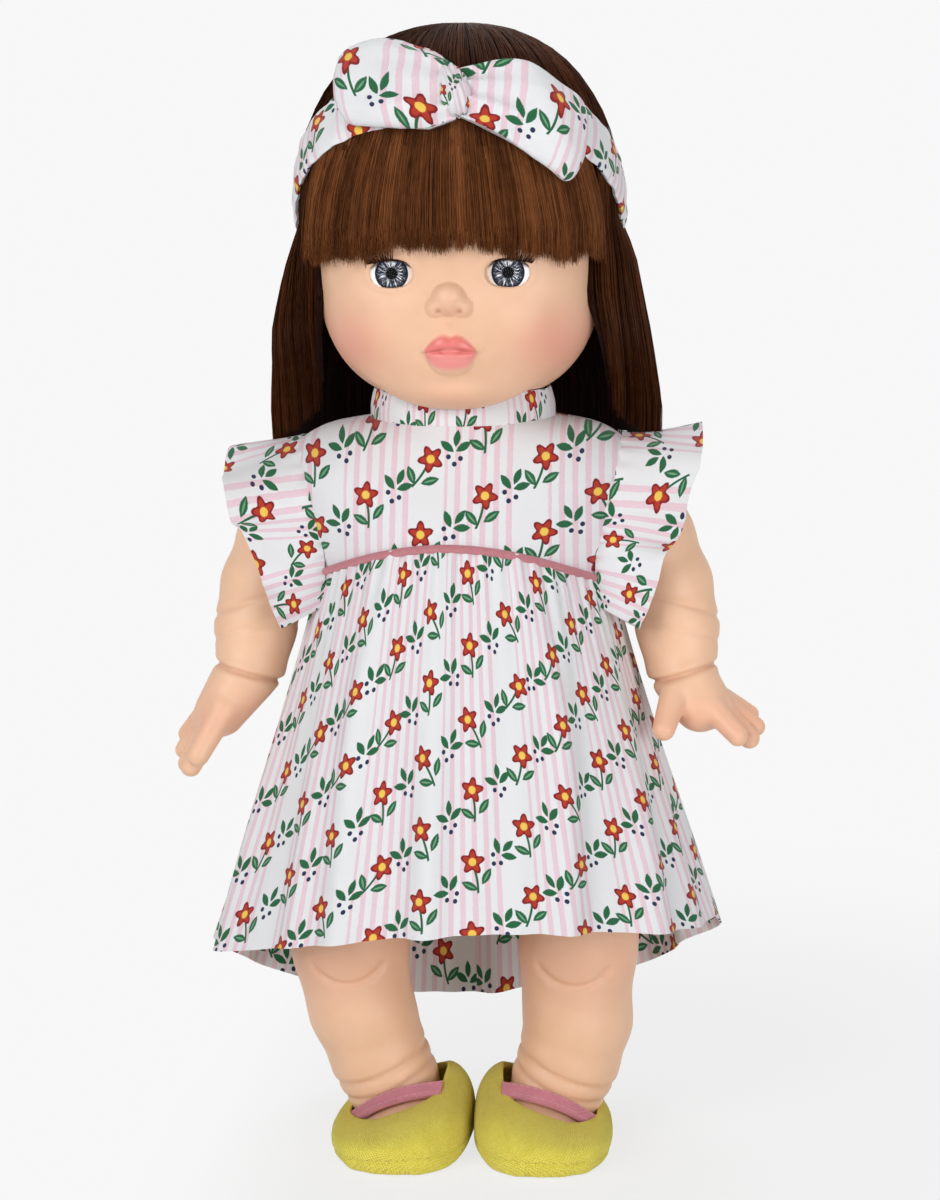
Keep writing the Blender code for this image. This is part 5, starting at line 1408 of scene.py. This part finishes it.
def skirt_points(angle, down):
    """The skirt: gathered at the waist, soft folds below, short in front and long behind."""
    s, c = np.sin(angle), np.cos(angle)
    top = waist_line(angle, 0.4)
    front, side, back = HEM_LEVELS
    rise = (front - side) * c * c
    level = side + np.where(c > 0, rise, (back - side) * np.abs(c) ** 1.1)
    depth = np.where(c > 0, HEM_FRONT, HEM_BACK)
    hem = np.stack([HEM_SHIFT + HEM_HALF * s, -depth * c, level + HEM_LEAN * HEM_HALF * s], -1)
    spread = down ** (0.88 + 0.24 * s * s)
    points = top + (hem - top) * np.stack([spread, spread, down], -1)
    outward = np.stack([s * 0.9, -c, 0 * s], -1)
    bend = angle + 0.16 * down * np.sin(angle * 2)
    quiet = 0.65 + 0.35 * s * s
    folds = 2.0 * np.cos(bend * 11 + 0.6) + 1.6 * np.cos(bend * 17 + 2.1)
    folds += 1.0 * np.cos(bend * 27 + 1.0 + 2 * down)
    gathers = np.cos(angle * 61 + 1.5 * np.sin(angle * 7)) * np.exp(-down * 6) * 0.70
    aside = (np.abs(angle - 0.02) - 0.42 - 0.20 * down) / 0.07
    pleats = 1.7 * bell(aside) * bell((down - 0.28) / 0.30)
    relief = folds * quiet * (0.12 + 0.88 * soften(down, 0.0, 0.9)) + gathers + pleats * (c > 0)
    return points + outward * relief[..., None]


def skirt():
    """Two halves that meet at the middle, whose points carry a sway share that grows low, ahead and out to
    the side.
    """
    whole = np.linspace(-np.pi, np.pi, SKIRT_TURNS + 1)
    low = skirt_points(whole, np.ones_like(whole))
    steps = np.linalg.norm(np.diff(low * (1, 1, 0), axis=0), axis=1)
    run = np.concatenate([[0], np.cumsum(steps)])
    run -= run[SKIRT_TURNS // 2]
    for side, sign in SIDES:
        chosen = whole <= 0 if sign < 0 else whole >= 0
        angle, down = np.meshgrid(whole[chosen], np.linspace(1, 0, SKIRT_ROWS))
        points = skirt_points(angle, down)
        across = np.tile(run[chosen], (SKIRT_ROWS, 1))
        flat = np.stack([across, -SKIRT_DROP * down], -1)
        outer = soften(np.abs(points[..., 0]), 3, 22)
        ahead = soften(-points[..., 1], -22, 6)
        lower = soften(points[..., 2], 150, 96)
        sway = outer * ahead * lower
        made = cloth(f"skirt_{side}_half", points, flat, COTTON_THICK, PRINT, closed=False, sway=sway)
        sway_between(made)
        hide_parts("dress_skirt")


RUFFLE_LOW, RUFFLE_SPRING, RUFFLE_ARCH = 171.0, 199.0, 20.0
RUFFLE_DEEP = 21.4
# Seat of the seam: levels and half widths; reach: shares of the seam and widths there
RUFFLE_SEAT = ((171, 178, 186, 200, 212, 219), (46.6, 46.0, 46.3, 48.9, 50.0, 47.6))
RUFFLE_REACH = ((0, 0.12, 0.3, 0.5, 0.7, 0.88, 1), (12.5, 18.5, 24.0, 24.0, 24.0, 18.5, 12.5))
RUFFLE_DROOP = {"left": 4.5, "right": 1.0}
RUFFLE_FLAT = (128.0, 26.0)


def ruffle_seam(u):
    """The frill's seam on the right side: up the front, over the shoulder, down the back."""
    bend = np.pi * np.clip((u - 0.3) / 0.4, 0, 1)
    y = -RUFFLE_DEEP * np.cos(bend)
    straight = np.minimum(np.minimum(u, 1 - u) / 0.3, 1)
    z = RUFFLE_LOW + (RUFFLE_SPRING - RUFFLE_LOW) * straight + RUFFLE_ARCH * np.sin(bend)
    half = np.interp(z, *RUFFLE_SEAT) - 0.3
    x = half * (1 - np.abs(y / 41.0) ** BODICE_POWER) ** (1 / BODICE_POWER)
    return np.stack([x, y, z], -1)


def ruffle(side, sign):
    """A gathered frill that stands out from its seam, with a sway share that grows towards its outer edge.
    """
    rows, columns = 40, 200
    u, out = np.meshgrid(np.linspace(0, 1, columns), np.linspace(1, 0, rows))
    seam = ruffle_seam(u)
    reach = np.interp(u, *RUFFLE_REACH)
    crest = np.sin(np.pi * u)
    upward = np.maximum(seam[..., 2] - RUFFLE_SPRING, 0) / RUFFLE_ARCH
    normal = np.stack([0 * u, seam[..., 1] / RUFFLE_DEEP, upward], -1)
    wave = 3.6 * np.cos(u * 23 + 0.7 * sign) + 1.6 * np.cos(u * 41 + 2 * sign)
    tuck = 0.45 * np.cos(u * 150) * np.exp(-out * 7)
    stand = wave * out**1.3 + tuck
    fall = -RUFFLE_DROOP[side] * out * crest**6 - 7.0 * out * (1 - crest) ** 1.5
    fall += 1.6 * out**2 * np.cos(u * 31 + sign)
    points = seam + np.stack([reach * out, normal[..., 1] * 0.20 * reach * out, fall], -1)
    points += normal * stand[..., None]
    points[..., 0] *= sign
    flat = np.stack([u * RUFFLE_FLAT[0] + 31 * sign, RUFFLE_FLAT[1] * (1 - out) + 3], -1)
    sway = 0.55 * soften(out, 0.05, 1.0)
    points, flat, sway = (grid[:, ::-sign] for grid in (points, flat, sway))
    made = cloth(f"{side}_ruffle_cloth", points, flat, COTTON_THICK, PRINT, closed=False, sway=sway)
    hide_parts(f"{side}_ruffle")
    sway_between(made)


# Button: radius and height from its back
BUTTON_PROFILE = (
    (0.03, -0.1), (2.9, -0.1), (3.2, 0.2), (3.2, 0.9), (2.9, 1.25), (2.3, 1.2), (1.9, 0.8), (0.03, 0.75),
)
BUTTON_OUT = 1.9


def button(number, height):
    """A dished button with a rim, sewn on with a cross of thread."""
    depths, levels = BODICE_BACK
    centre = np.array([0.0, np.interp(height, levels[::-1], depths[::-1]) + BUTTON_OUT, height])
    flat, faces, _ = capped(turned([(r, -t) for r, t in BUTTON_PROFILE], centre, 40), flip=True)
    made = piece(f"button_{number}", flat, faces, BUTTON)
    fit(made, f"back_button_{number}", "torso")
    for turn in (1, -1):
        t = np.linspace(-1, 1, 5)[:, None]
        path = centre + np.array([0.7, 0, 0.7 * turn]) * t + (0, 1.0, 0) * (1 - t * t) * 0.25 + (0, 0.85, 0)
        stitch = threads(f"button_{number}_thread_{turn + 1}", [path], [np.full(5, 0.16)], THREAD, sides=6)
        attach(stitch, "torso")


def placket():
    """The overlapped back opening, with two buttons."""
    rows, columns = 40, 12
    across, down = np.meshgrid(np.linspace(-5.5, 5.5, columns), np.linspace(0.94, 0.14, rows))
    angle = np.pi - across / 36.0
    points = bodice_point(angle, down, 0.9)
    flat = np.stack([across + 200, -56 * down], -1)
    made = cloth("placket_cloth", points[:, ::-1], flat[:, ::-1], COTTON_THICK, PRINT, closed=False)
    fit(made, "back_placket", "torso")
    for number in (1, 2):
        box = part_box(f"back_button_{number}")
        button(number, (box[0][2] + box[1][2]) / 2 / MM)


def dress():
    """All pieces of the dress."""
    bodice()
    collar()
    piping()
    skirt()
    for side, sign in SIDES:
        ruffle(side, sign)
    placket()


# Arms and legs


def crease(p, centre, normal, width):
    """Closeness to a plane's cut across a limb: 1 on it."""
    normal = np.array(normal, float) / np.linalg.norm(normal)
    off = sum((p[i] - centre[i]) * normal[i] for i in range(3))
    return bell(off / width)


WRIST, WRIST_LEAN = (66, -8, 148.6), (-0.30, 0.12, 1)

# Bones of the right side: start, end, radius at each
ARM_BONES = (
    ((49.5, 0, 200), (55.8, 0, 188), 13.7, 12.7),
    ((55.8, 0, 188), (61.4, -1, 174), 12.7, 12.4),
    ((61.4, -1, 174), (63.7, -3, 162), 12.4, 12.0),
    ((63.7, -3, 162), (65.0, -6, 151), 12.0, 10.9),
)
RIGHT_HAND = {
    "palm": (((66, -9.5, 147), (70.5, -13, 139.5), 9.6, 8.0), ((68, -9, 146), (76, -9.5, 138), 7.0, 5.4)),
    "fingers": (
        ((74, -17.0, 139.5), (81.5, -23.5, 132.5), 3.7, 3.1),
        ((76.5, -13.0, 138), (85.0, -17.5, 130.5), 3.6, 3.1),
        ((78, -8.5, 138.5), (87.0, -10.5, 132.5), 3.5, 2.9),
        ((77.5, -4.5, 140), (85.5, -4.0, 135), 3.2, 2.7),
    ),
    "thumb": ((63.0, -17, 144), (59.8, -25.5, 134.8), 4.3, 3.4),
}
LEFT_HAND = {
    "palm": (((66.5, -9.5, 147), (73.5, -12.5, 137), 9.4, 7.6), ((70, -9, 145), (77.5, -9, 135), 6.6, 5.0)),
    "fingers": (
        ((75.5, -15.5, 134), (82.0, -19.0, 121.5), 3.8, 3.2),
        ((77.5, -11.5, 133.5), (84.0, -13.0, 121), 3.6, 3.0),
        ((79.0, -7.5, 134.5), (86.0, -7.5, 124), 3.4, 2.8),
        ((79.0, -3.5, 136.5), (86.0, -3.0, 128), 3.1, 2.6),
    ),
    "thumb": ((72.0, -17.5, 138.5), (78.8, -24.0, 126.0), 4.2, 3.4),
}


def arm_field(p, hand):
    """The arm and hand of the right side, as distances."""
    limb = joined(p, ARM_BONES, 3.0)
    limb += 0.75 * crease(p, (63, -2, 168), (0.28, 0.25, 1), 0.9) * soften(-p[1], -8, 4)
    limb += 0.45 * crease(p, (64, -4, 160), (0.20, 0.25, 1), 0.9) * soften(-p[1], -6, 6)
    knuckles = soft_join(joined(p, hand["palm"], 3.0), joined(p, hand["fingers"], 0.7), 2.2)
    whole = soft_join(knuckles, limb_bone(p, *hand["thumb"]), 2.4)
    limb = soft_join(limb, whole, 1.2)
    return limb + 1.5 * crease(p, WRIST, WRIST_LEAN, 0.9)


def arms():
    """Both arms, each with its own hand."""
    for side, sign in SIDES:
        hand = RIGHT_HAND if sign > 0 else LEFT_HAND
        points, faces = skin_over(lambda p: arm_field(p, hand), (34, -32, 112), (93, 18, 217), 0.62)
        # Painted shade in the wrist crease; blush on the hand.
        deep = 0.22 * crease(points.T, WRIST, WRIST_LEAN, 0.8)
        marks = {"shade": deep, "blush": 0.25 * bell((points[:, 2] - 136) / 8)}
        made = piece(f"{side}_vinyl_arm", points * (sign, 1, 1), faces[:, ::sign], SKIN, marks=marks)
        fit(made, f"{side}_arm", f"{side}_arm")


LEG_BONES = (
    ((36.8, 0, 118), (36.3, 0, 94), 20.0, 19.2),
    ((36.3, 0, 94), (35.2, -1, 61), 19.2, 17.8),
    ((35.2, -1, 61), (33.4, -0.3, 40), 17.8, 16.4),
    ((33.4, -0.3, 40), (29.6, -0.5, 26), 16.4, 15.0),
    ((29.6, -0.5, 26), (26.2, -0.8, 18), 15.2, 14.4),
    ((26.2, -0.8, 18), (24.2, -1.0, 9), 14.4, 12.0),
)
FOOT_TURN = -4 * DEGREE
FOOT_MIDDLE = (21.4, -10.4)
FOOT_ROLL = 0.28
SHOE_ROLL = 0.39
HIP_FACE = 17.3
FEET_ASIDE = 1.2
KNEES_ASIDE, KNEE_Z = 1.8, 58
ANKLE_LEAN = (0.42, -0.10, 1)


def foot_place(p):
    """A place in the right foot's own directions: across, back, up."""
    c, s = math.cos(FOOT_TURN), math.sin(FOOT_TURN)
    x, y = p[0] - FOOT_MIDDLE[0], p[1] - FOOT_MIDDLE[1]
    return x * c - y * s, x * s + y * c, p[2]


def leg_field(p):
    """The right leg and its bare foot, as distances, with a knee fold and two ankle folds."""
    limb = joined(p, LEG_BONES, 2.5)
    round_knee = np.sqrt((p[0] - 34.5) ** 2 + (p[2] - 66.0) ** 2)
    fold = bell((round_knee - 12.5) / 1.0) * soften(p[2], 62, 57) * soften(-p[1], 4, 12)
    limb += 1.3 * fold
    limb += 0.85 * crease(p, (29, -6, 24.0), ANKLE_LEAN, 0.9)
    limb += 0.7 * crease(p, (28, -6, 18.6), ANKLE_LEAN, 0.9)
    across, back, up = foot_place(p)
    foot = ball((across, back, up + FOOT_ROLL * across), (0, 0, 8.5), (15.0, 22.5, 7.8))
    limb = soft_join(limb, foot, 3.0)
    limb = soft_most(limb, 3.0 - p[2], 0.8)
    hip = np.where(p[2] > 85.0, HIP_FACE - p[0], -1.0)
    return np.maximum(limb, hip)


def legs():
    """Both legs, which lean a little to one side."""
    points, faces = skin_over(leg_field, (2, -38, 1), (60, 25, 142), 0.85)
    # Painted shade in the two ankle creases; blush on the knee.
    ankle = sum(crease(points.T, (28.5, -6, level), ANKLE_LEAN, 1.0) for level in (23.8, 18.8))
    marks = {"shade": 0.10 * np.clip(ankle, 0, 1), "blush": 0.22 * bell((points[:, 2] - 60) / 12)}
    for side, sign in SIDES:
        place = points * (sign, 1, 1)
        place[:, 0] += FEET_ASIDE * soften(points[:, 2], 62, 18)
        place[:, 0] -= KNEES_ASIDE * bell((points[:, 2] - KNEE_Z) / 22)
        made = piece(f"{side}_vinyl_leg", place, faces[:, ::sign], SKIN, marks=marks)
        fit(made, f"{side}_leg", f"{side}_leg")


# Shoes


SHOE_HALF = (21.3, 29.6)
SHOE_MIDDLE_Z = 8.0
SHOE_DEEP = 14.0
SHOE_POWER, SHOE_CROWN = 2.7, 2.3
SHOE_WALL = 1.9
SOLE_HALF = (15.2, 22.6)
SOLE_THICK = 2.2
STITCH_LONG, STITCH_GAP, STITCH_RADIUS, STITCH_LIFT = 1.5, 0.7, 0.13, 0.25


def shoe_block(p, grow):
    """A rounded, full-toed shoe shape, grown outwards."""
    across, back, up = foot_place(p)
    wide, long = SHOE_HALF[0] + grow, SHOE_HALF[1] + grow
    plan = rounded(np.abs(across) / wide, np.abs(back) / long, SHOE_POWER)
    heel = soften(back, -12, 16)
    rise = np.maximum(7.8 + 6.0 * heel - SHOE_ROLL * across, 5.0) + grow
    lift = np.abs(up - SHOE_MIDDLE_Z) / np.where(up > SHOE_MIDDLE_Z, rise, SHOE_DEEP + grow)
    return (rounded(plan, lift, SHOE_CROWN) - 1) * 15.0


def shoe_field(p):
    """The hollow upper with its mouth over the instep, as distances."""
    across, back, up = foot_place(p)
    outer = shoe_block(p, 0.0)
    ripple = 0.22 * np.sin(across * 0.55 + back * 0.35) * soften(-back, 0, 12)
    ripple = ripple + 0.18 * np.sin(across * 0.9 - up * 0.4)
    groove = bell((up - 5.4 + 0.06 * across) / 0.45) * soften(-back, 2, 12)
    outer = outer + 0.35 * ripple + 0.45 * groove
    inner = shoe_block(p, -SHOE_WALL)
    mouth = rounded(np.abs((across - 2.4) / 14.4), np.abs((back - 6.2) / 18.6), 2.8)
    opening = (mouth - 1) * 13.0
    above = np.maximum(6.0 - SHOE_ROLL * across, 6.6) - up
    wall = soft_most(outer, -inner, 0.6)
    hollow = soft_most(opening, above, 0.5)
    wall = soft_most(wall, -hollow, 0.7)
    return soft_most(wall, 0.3 - up, 0.3)


def sole_field(p):
    """The flat sole, as distances."""
    across, back, up = foot_place(p)
    plan = rounded(np.abs(across) / SOLE_HALF[0], np.abs(back) / SOLE_HALF[1], SHOE_POWER)
    return soft_most((plan - 1) * 16.0, np.abs(up - SOLE_THICK / 2) - SOLE_THICK / 2, 0.3)


def strap_point(u, v, grow):
    """A place on the right strap: u along it from its low outer end, v across it, over the instep."""
    arch = 3.2 * np.sin(np.pi * u) + grow
    across = 15.8 - 28.2 * u + 0.36 * arch
    up = 9.6 + 10.6 * u + 0.93 * arch - 2.6 * (v - 0.5)
    back = -5.0 - 3.6 * np.sin(np.pi * u) + 1.0 * u - (v - 0.5) * 4.6
    c, s = math.cos(FOOT_TURN), math.sin(FOOT_TURN)
    x, y = across * c + back * s, back * c - across * s
    return np.stack([x + FOOT_MIDDLE[0], y + FOOT_MIDDLE[1], up], -1)


def shoe_flat(points, faces):
    """Flat coordinates of the upper at each face corner: round the foot, and from its mouth down."""
    across, back, up = foot_place(points.T)
    turn = np.arctan2(across, -back)[faces]
    turn = np.where((np.ptp(turn, axis=1) > np.pi)[:, None] & (turn < 0), turn + 2 * np.pi, turn)
    down = (up - np.hypot(across, back))[faces]
    return np.stack([turn * 22.0, down], -1)


def stitches(name, line, body):
    """A row of short stitches along a line."""
    steps = np.linalg.norm(np.diff(line, axis=0), axis=1)
    run = np.concatenate([[0], np.cumsum(steps)])
    arch = STITCH_LIFT * np.outer((0, 0.6, 0.6, 0), (0, 0, 1))
    paths = []
    for start in np.arange(0, run[-1] - STITCH_LONG, STITCH_LONG + STITCH_GAP):
        spots = np.linspace(start, start + STITCH_LONG, 4)
        paths.append(np.stack([np.interp(spots, run, line[:, i]) for i in range(3)], -1) + arch)
    made = threads(name, paths, [np.full(4, STITCH_RADIUS)] * len(paths), FELT_THREAD, sides=5)
    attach(made, body)


def shoes():
    """Two shoes, each of a linen upper, a cloth sole and a felt strap with two rows of stitches."""
    upper, upper_faces = skin_over(shoe_field, (-4, -43, -0.7), (48, 24, 31), 0.62)
    sole, sole_faces = skin_over(sole_field, (-4, -43, -1.5), (48, 24, 4.5), 0.75)
    u, v = np.meshgrid(np.linspace(0, 1, 60), np.linspace(0, 1, 12))
    band = strap_point(u, v, 0.0)
    edges = [strap_point(np.linspace(0.03, 0.97, 90), np.full(90, share), 0.65) for share in (0.16, 0.84)]
    aside = np.array((FEET_ASIDE, 0, 0))
    for side, sign in SIDES:
        flip = np.array((sign, 1, 1))
        body = f"{side}_leg"
        order = upper_faces[:, ::sign]
        flat = shoe_flat(upper, order).reshape(-1, 2)
        made = piece(f"{side}_linen_upper", upper * flip + aside, order, LINEN, uv=flat)
        fit(made, f"{side}_shoe_upper", body)
        made = piece(f"{side}_cloth_sole", sole * flip + aside, sole_faces[:, ::sign], SOLE)
        fit(made, f"{side}_shoe_sole", body)
        strip = (band * flip + aside)[:, ::sign]
        made = cloth(f"{side}_felt_strap", strip, np.stack([u, v], -1), 1.1, FELT, closed=False)
        fit(made, f"{side}_shoe_strap", body)
        for number, edge in enumerate(edges):
            stitches(f"{side}_strap_stitch_{number + 1}", edge * flip + aside, body)


# Inner pieces that keep their solids


def inner_pieces():
    """Gives the solids that stay their finishes."""
    finishes = {"torso": SKIN}
    for side, _ in SIDES:
        finishes[f"{side}_eye_case"] = CASE
        finishes[f"{side}_eye_weight"] = STEEL
    for node, finish in finishes.items():
        mesh = frame["nodes"][node].data
        mesh.materials.clear()
        mesh.materials.append(finish)


# Camera, light and floor


IMAGE_HEIGHT = 1200
FOCAL_PIXELS = 2682
CAMERA_TURN = math.radians(4.6)
CAMERA_PITCH = math.radians(9.30)
CAMERA_ROLL = math.radians(-0.7)
CAMERA_ASIDE = math.radians(-0.09)
CAMERA_AWAY = 0.80
CAMERA_HEIGHT = 0.30
BACKDROP = (0.935, 0.935, 0.935)
FLOOR_HALF = 3.0
SKYLIGHT = 0.33


def camera():
    """The camera at the photograph's viewing angle."""
    data = bpy.data.cameras.new("camera")
    data.sensor_width = 36.0
    data.lens = data.sensor_width * FOCAL_PIXELS / IMAGE_HEIGHT
    made = linked("camera", data)
    made.location = (
        CAMERA_AWAY * math.sin(CAMERA_TURN),
        AXIS[1] - CAMERA_AWAY * math.cos(CAMERA_TURN),
        CAMERA_HEIGHT,
    )
    turn = Matrix.Rotation(CAMERA_TURN + CAMERA_ASIDE, 3, "Z")
    tilt = Matrix.Rotation(math.pi / 2 - CAMERA_PITCH, 3, "X")
    made.rotation_euler = (turn @ tilt @ Matrix.Rotation(CAMERA_ROLL, 3, "Z")).to_euler()
    bpy.context.scene.camera = made


def softbox(name, place, aim, size, power):
    """A square area light turned towards a place."""
    data = bpy.data.lights.new(name, "AREA")
    data.energy = power
    data.size = size
    made = linked(name, data)
    made.location = place
    made.rotation_euler = (Vector(aim) - Vector(place)).to_track_quat("-Z", "Y").to_euler()


def world():
    """Soft light from all round, and a pale backdrop for what sees it directly."""
    made = bpy.data.worlds.new("studio")
    made.use_nodes = True
    tree = made.node_tree
    back = tree.nodes["Background"]
    rays = tree.nodes.new("ShaderNodeLightPath")
    seen = tree.nodes.new("ShaderNodeBackground")
    blend = tree.nodes.new("ShaderNodeMixShader")
    back.inputs["Color"].default_value = (0.96, 0.98, 1.0, 1)
    back.inputs["Strength"].default_value = SKYLIGHT
    seen.inputs["Color"].default_value = (*BACKDROP, 1)
    factor = rays.outputs["Is Camera Ray"]
    for kind in ("Is Glossy Ray", "Is Transmission Ray"):
        either = tree.nodes.new("ShaderNodeMath")
        either.operation = "MAXIMUM"
        tree.links.new(factor, either.inputs[0])
        tree.links.new(rays.outputs[kind], either.inputs[1])
        factor = either.outputs[0]
    tree.links.new(factor, blend.inputs[0])
    tree.links.new(back.outputs[0], blend.inputs[1])
    tree.links.new(seen.outputs[0], blend.inputs[2])
    tree.links.new(blend.outputs[0], tree.nodes["World Output"].inputs["Surface"])
    bpy.context.scene.world = made


def floor():
    """A pale floor that keeps the doll's shadow near it and melts into the backdrop further off."""
    half = FLOOR_HALF
    corners = [(-half, -half, 0), (half, -half, 0), (half, half, 0), (-half, half, 0)]
    mesh = bpy.data.meshes.new("floor")
    mesh.from_pydata(corners, [], [(0, 1, 2, 3)])
    finish = Finish("pale_floor", Roughness=0.9, Specular_IOR_Level=0.0)
    place = finish.node("ShaderNodeTexCoord", {}, output=3)
    x, y, _ = finish.parts(place)
    away = (x * x + y * y) ** 0.5
    soft = finish.noise(place, 3.0, 2.0)
    tone = finish.mix(soft, (0.86, 0.86, 0.86), (0.88, 0.88, 0.88))
    finish.feed(finish.surface.inputs["Base Color"], tone)
    glow = finish.node("ShaderNodeEmission", {}, Color=(*BACKDROP, 1.0), Strength=1.0)
    seen, glossy, through = (finish.node("ShaderNodeLightPath", {}, output=kind) for kind in (0, 3, 6))
    seen = (seen + glossy + through).least(1.0)
    melt = (away.rise(0.10, 0.40) + (x * -1.0).rise(0.03, 0.10)).least(1.0)
    share = seen * (0.80 + 0.20 * melt)
    surface = Wire(finish, finish.surface.outputs[0])
    finish.cover(finish.node("ShaderNodeMixShader", {}, share, surface, glow))
    mesh.materials.append(finish.material)
    linked("floor", mesh)


def studio():
    """Three soft lights, the world and the floor."""
    bpy.context.scene.view_settings.view_transform = "Standard"
    middle = (0, 0, 0.18)
    softbox("key_light", (-0.85, -1.25, 0.80), middle, 0.9, 12.6)
    softbox("fill_light", (0.85, -1.05, 0.20), (0, 0, 0.08), 0.8, 8.6)
    softbox("top_light", (0.1, 0.5, 1.4), middle, 0.8, 5)
    world()
    floor()


camera()
studio()
head_shell()
eyes()
hair()
headband()
bow()
dress()
arms()
legs()
shoes()
inner_pieces()
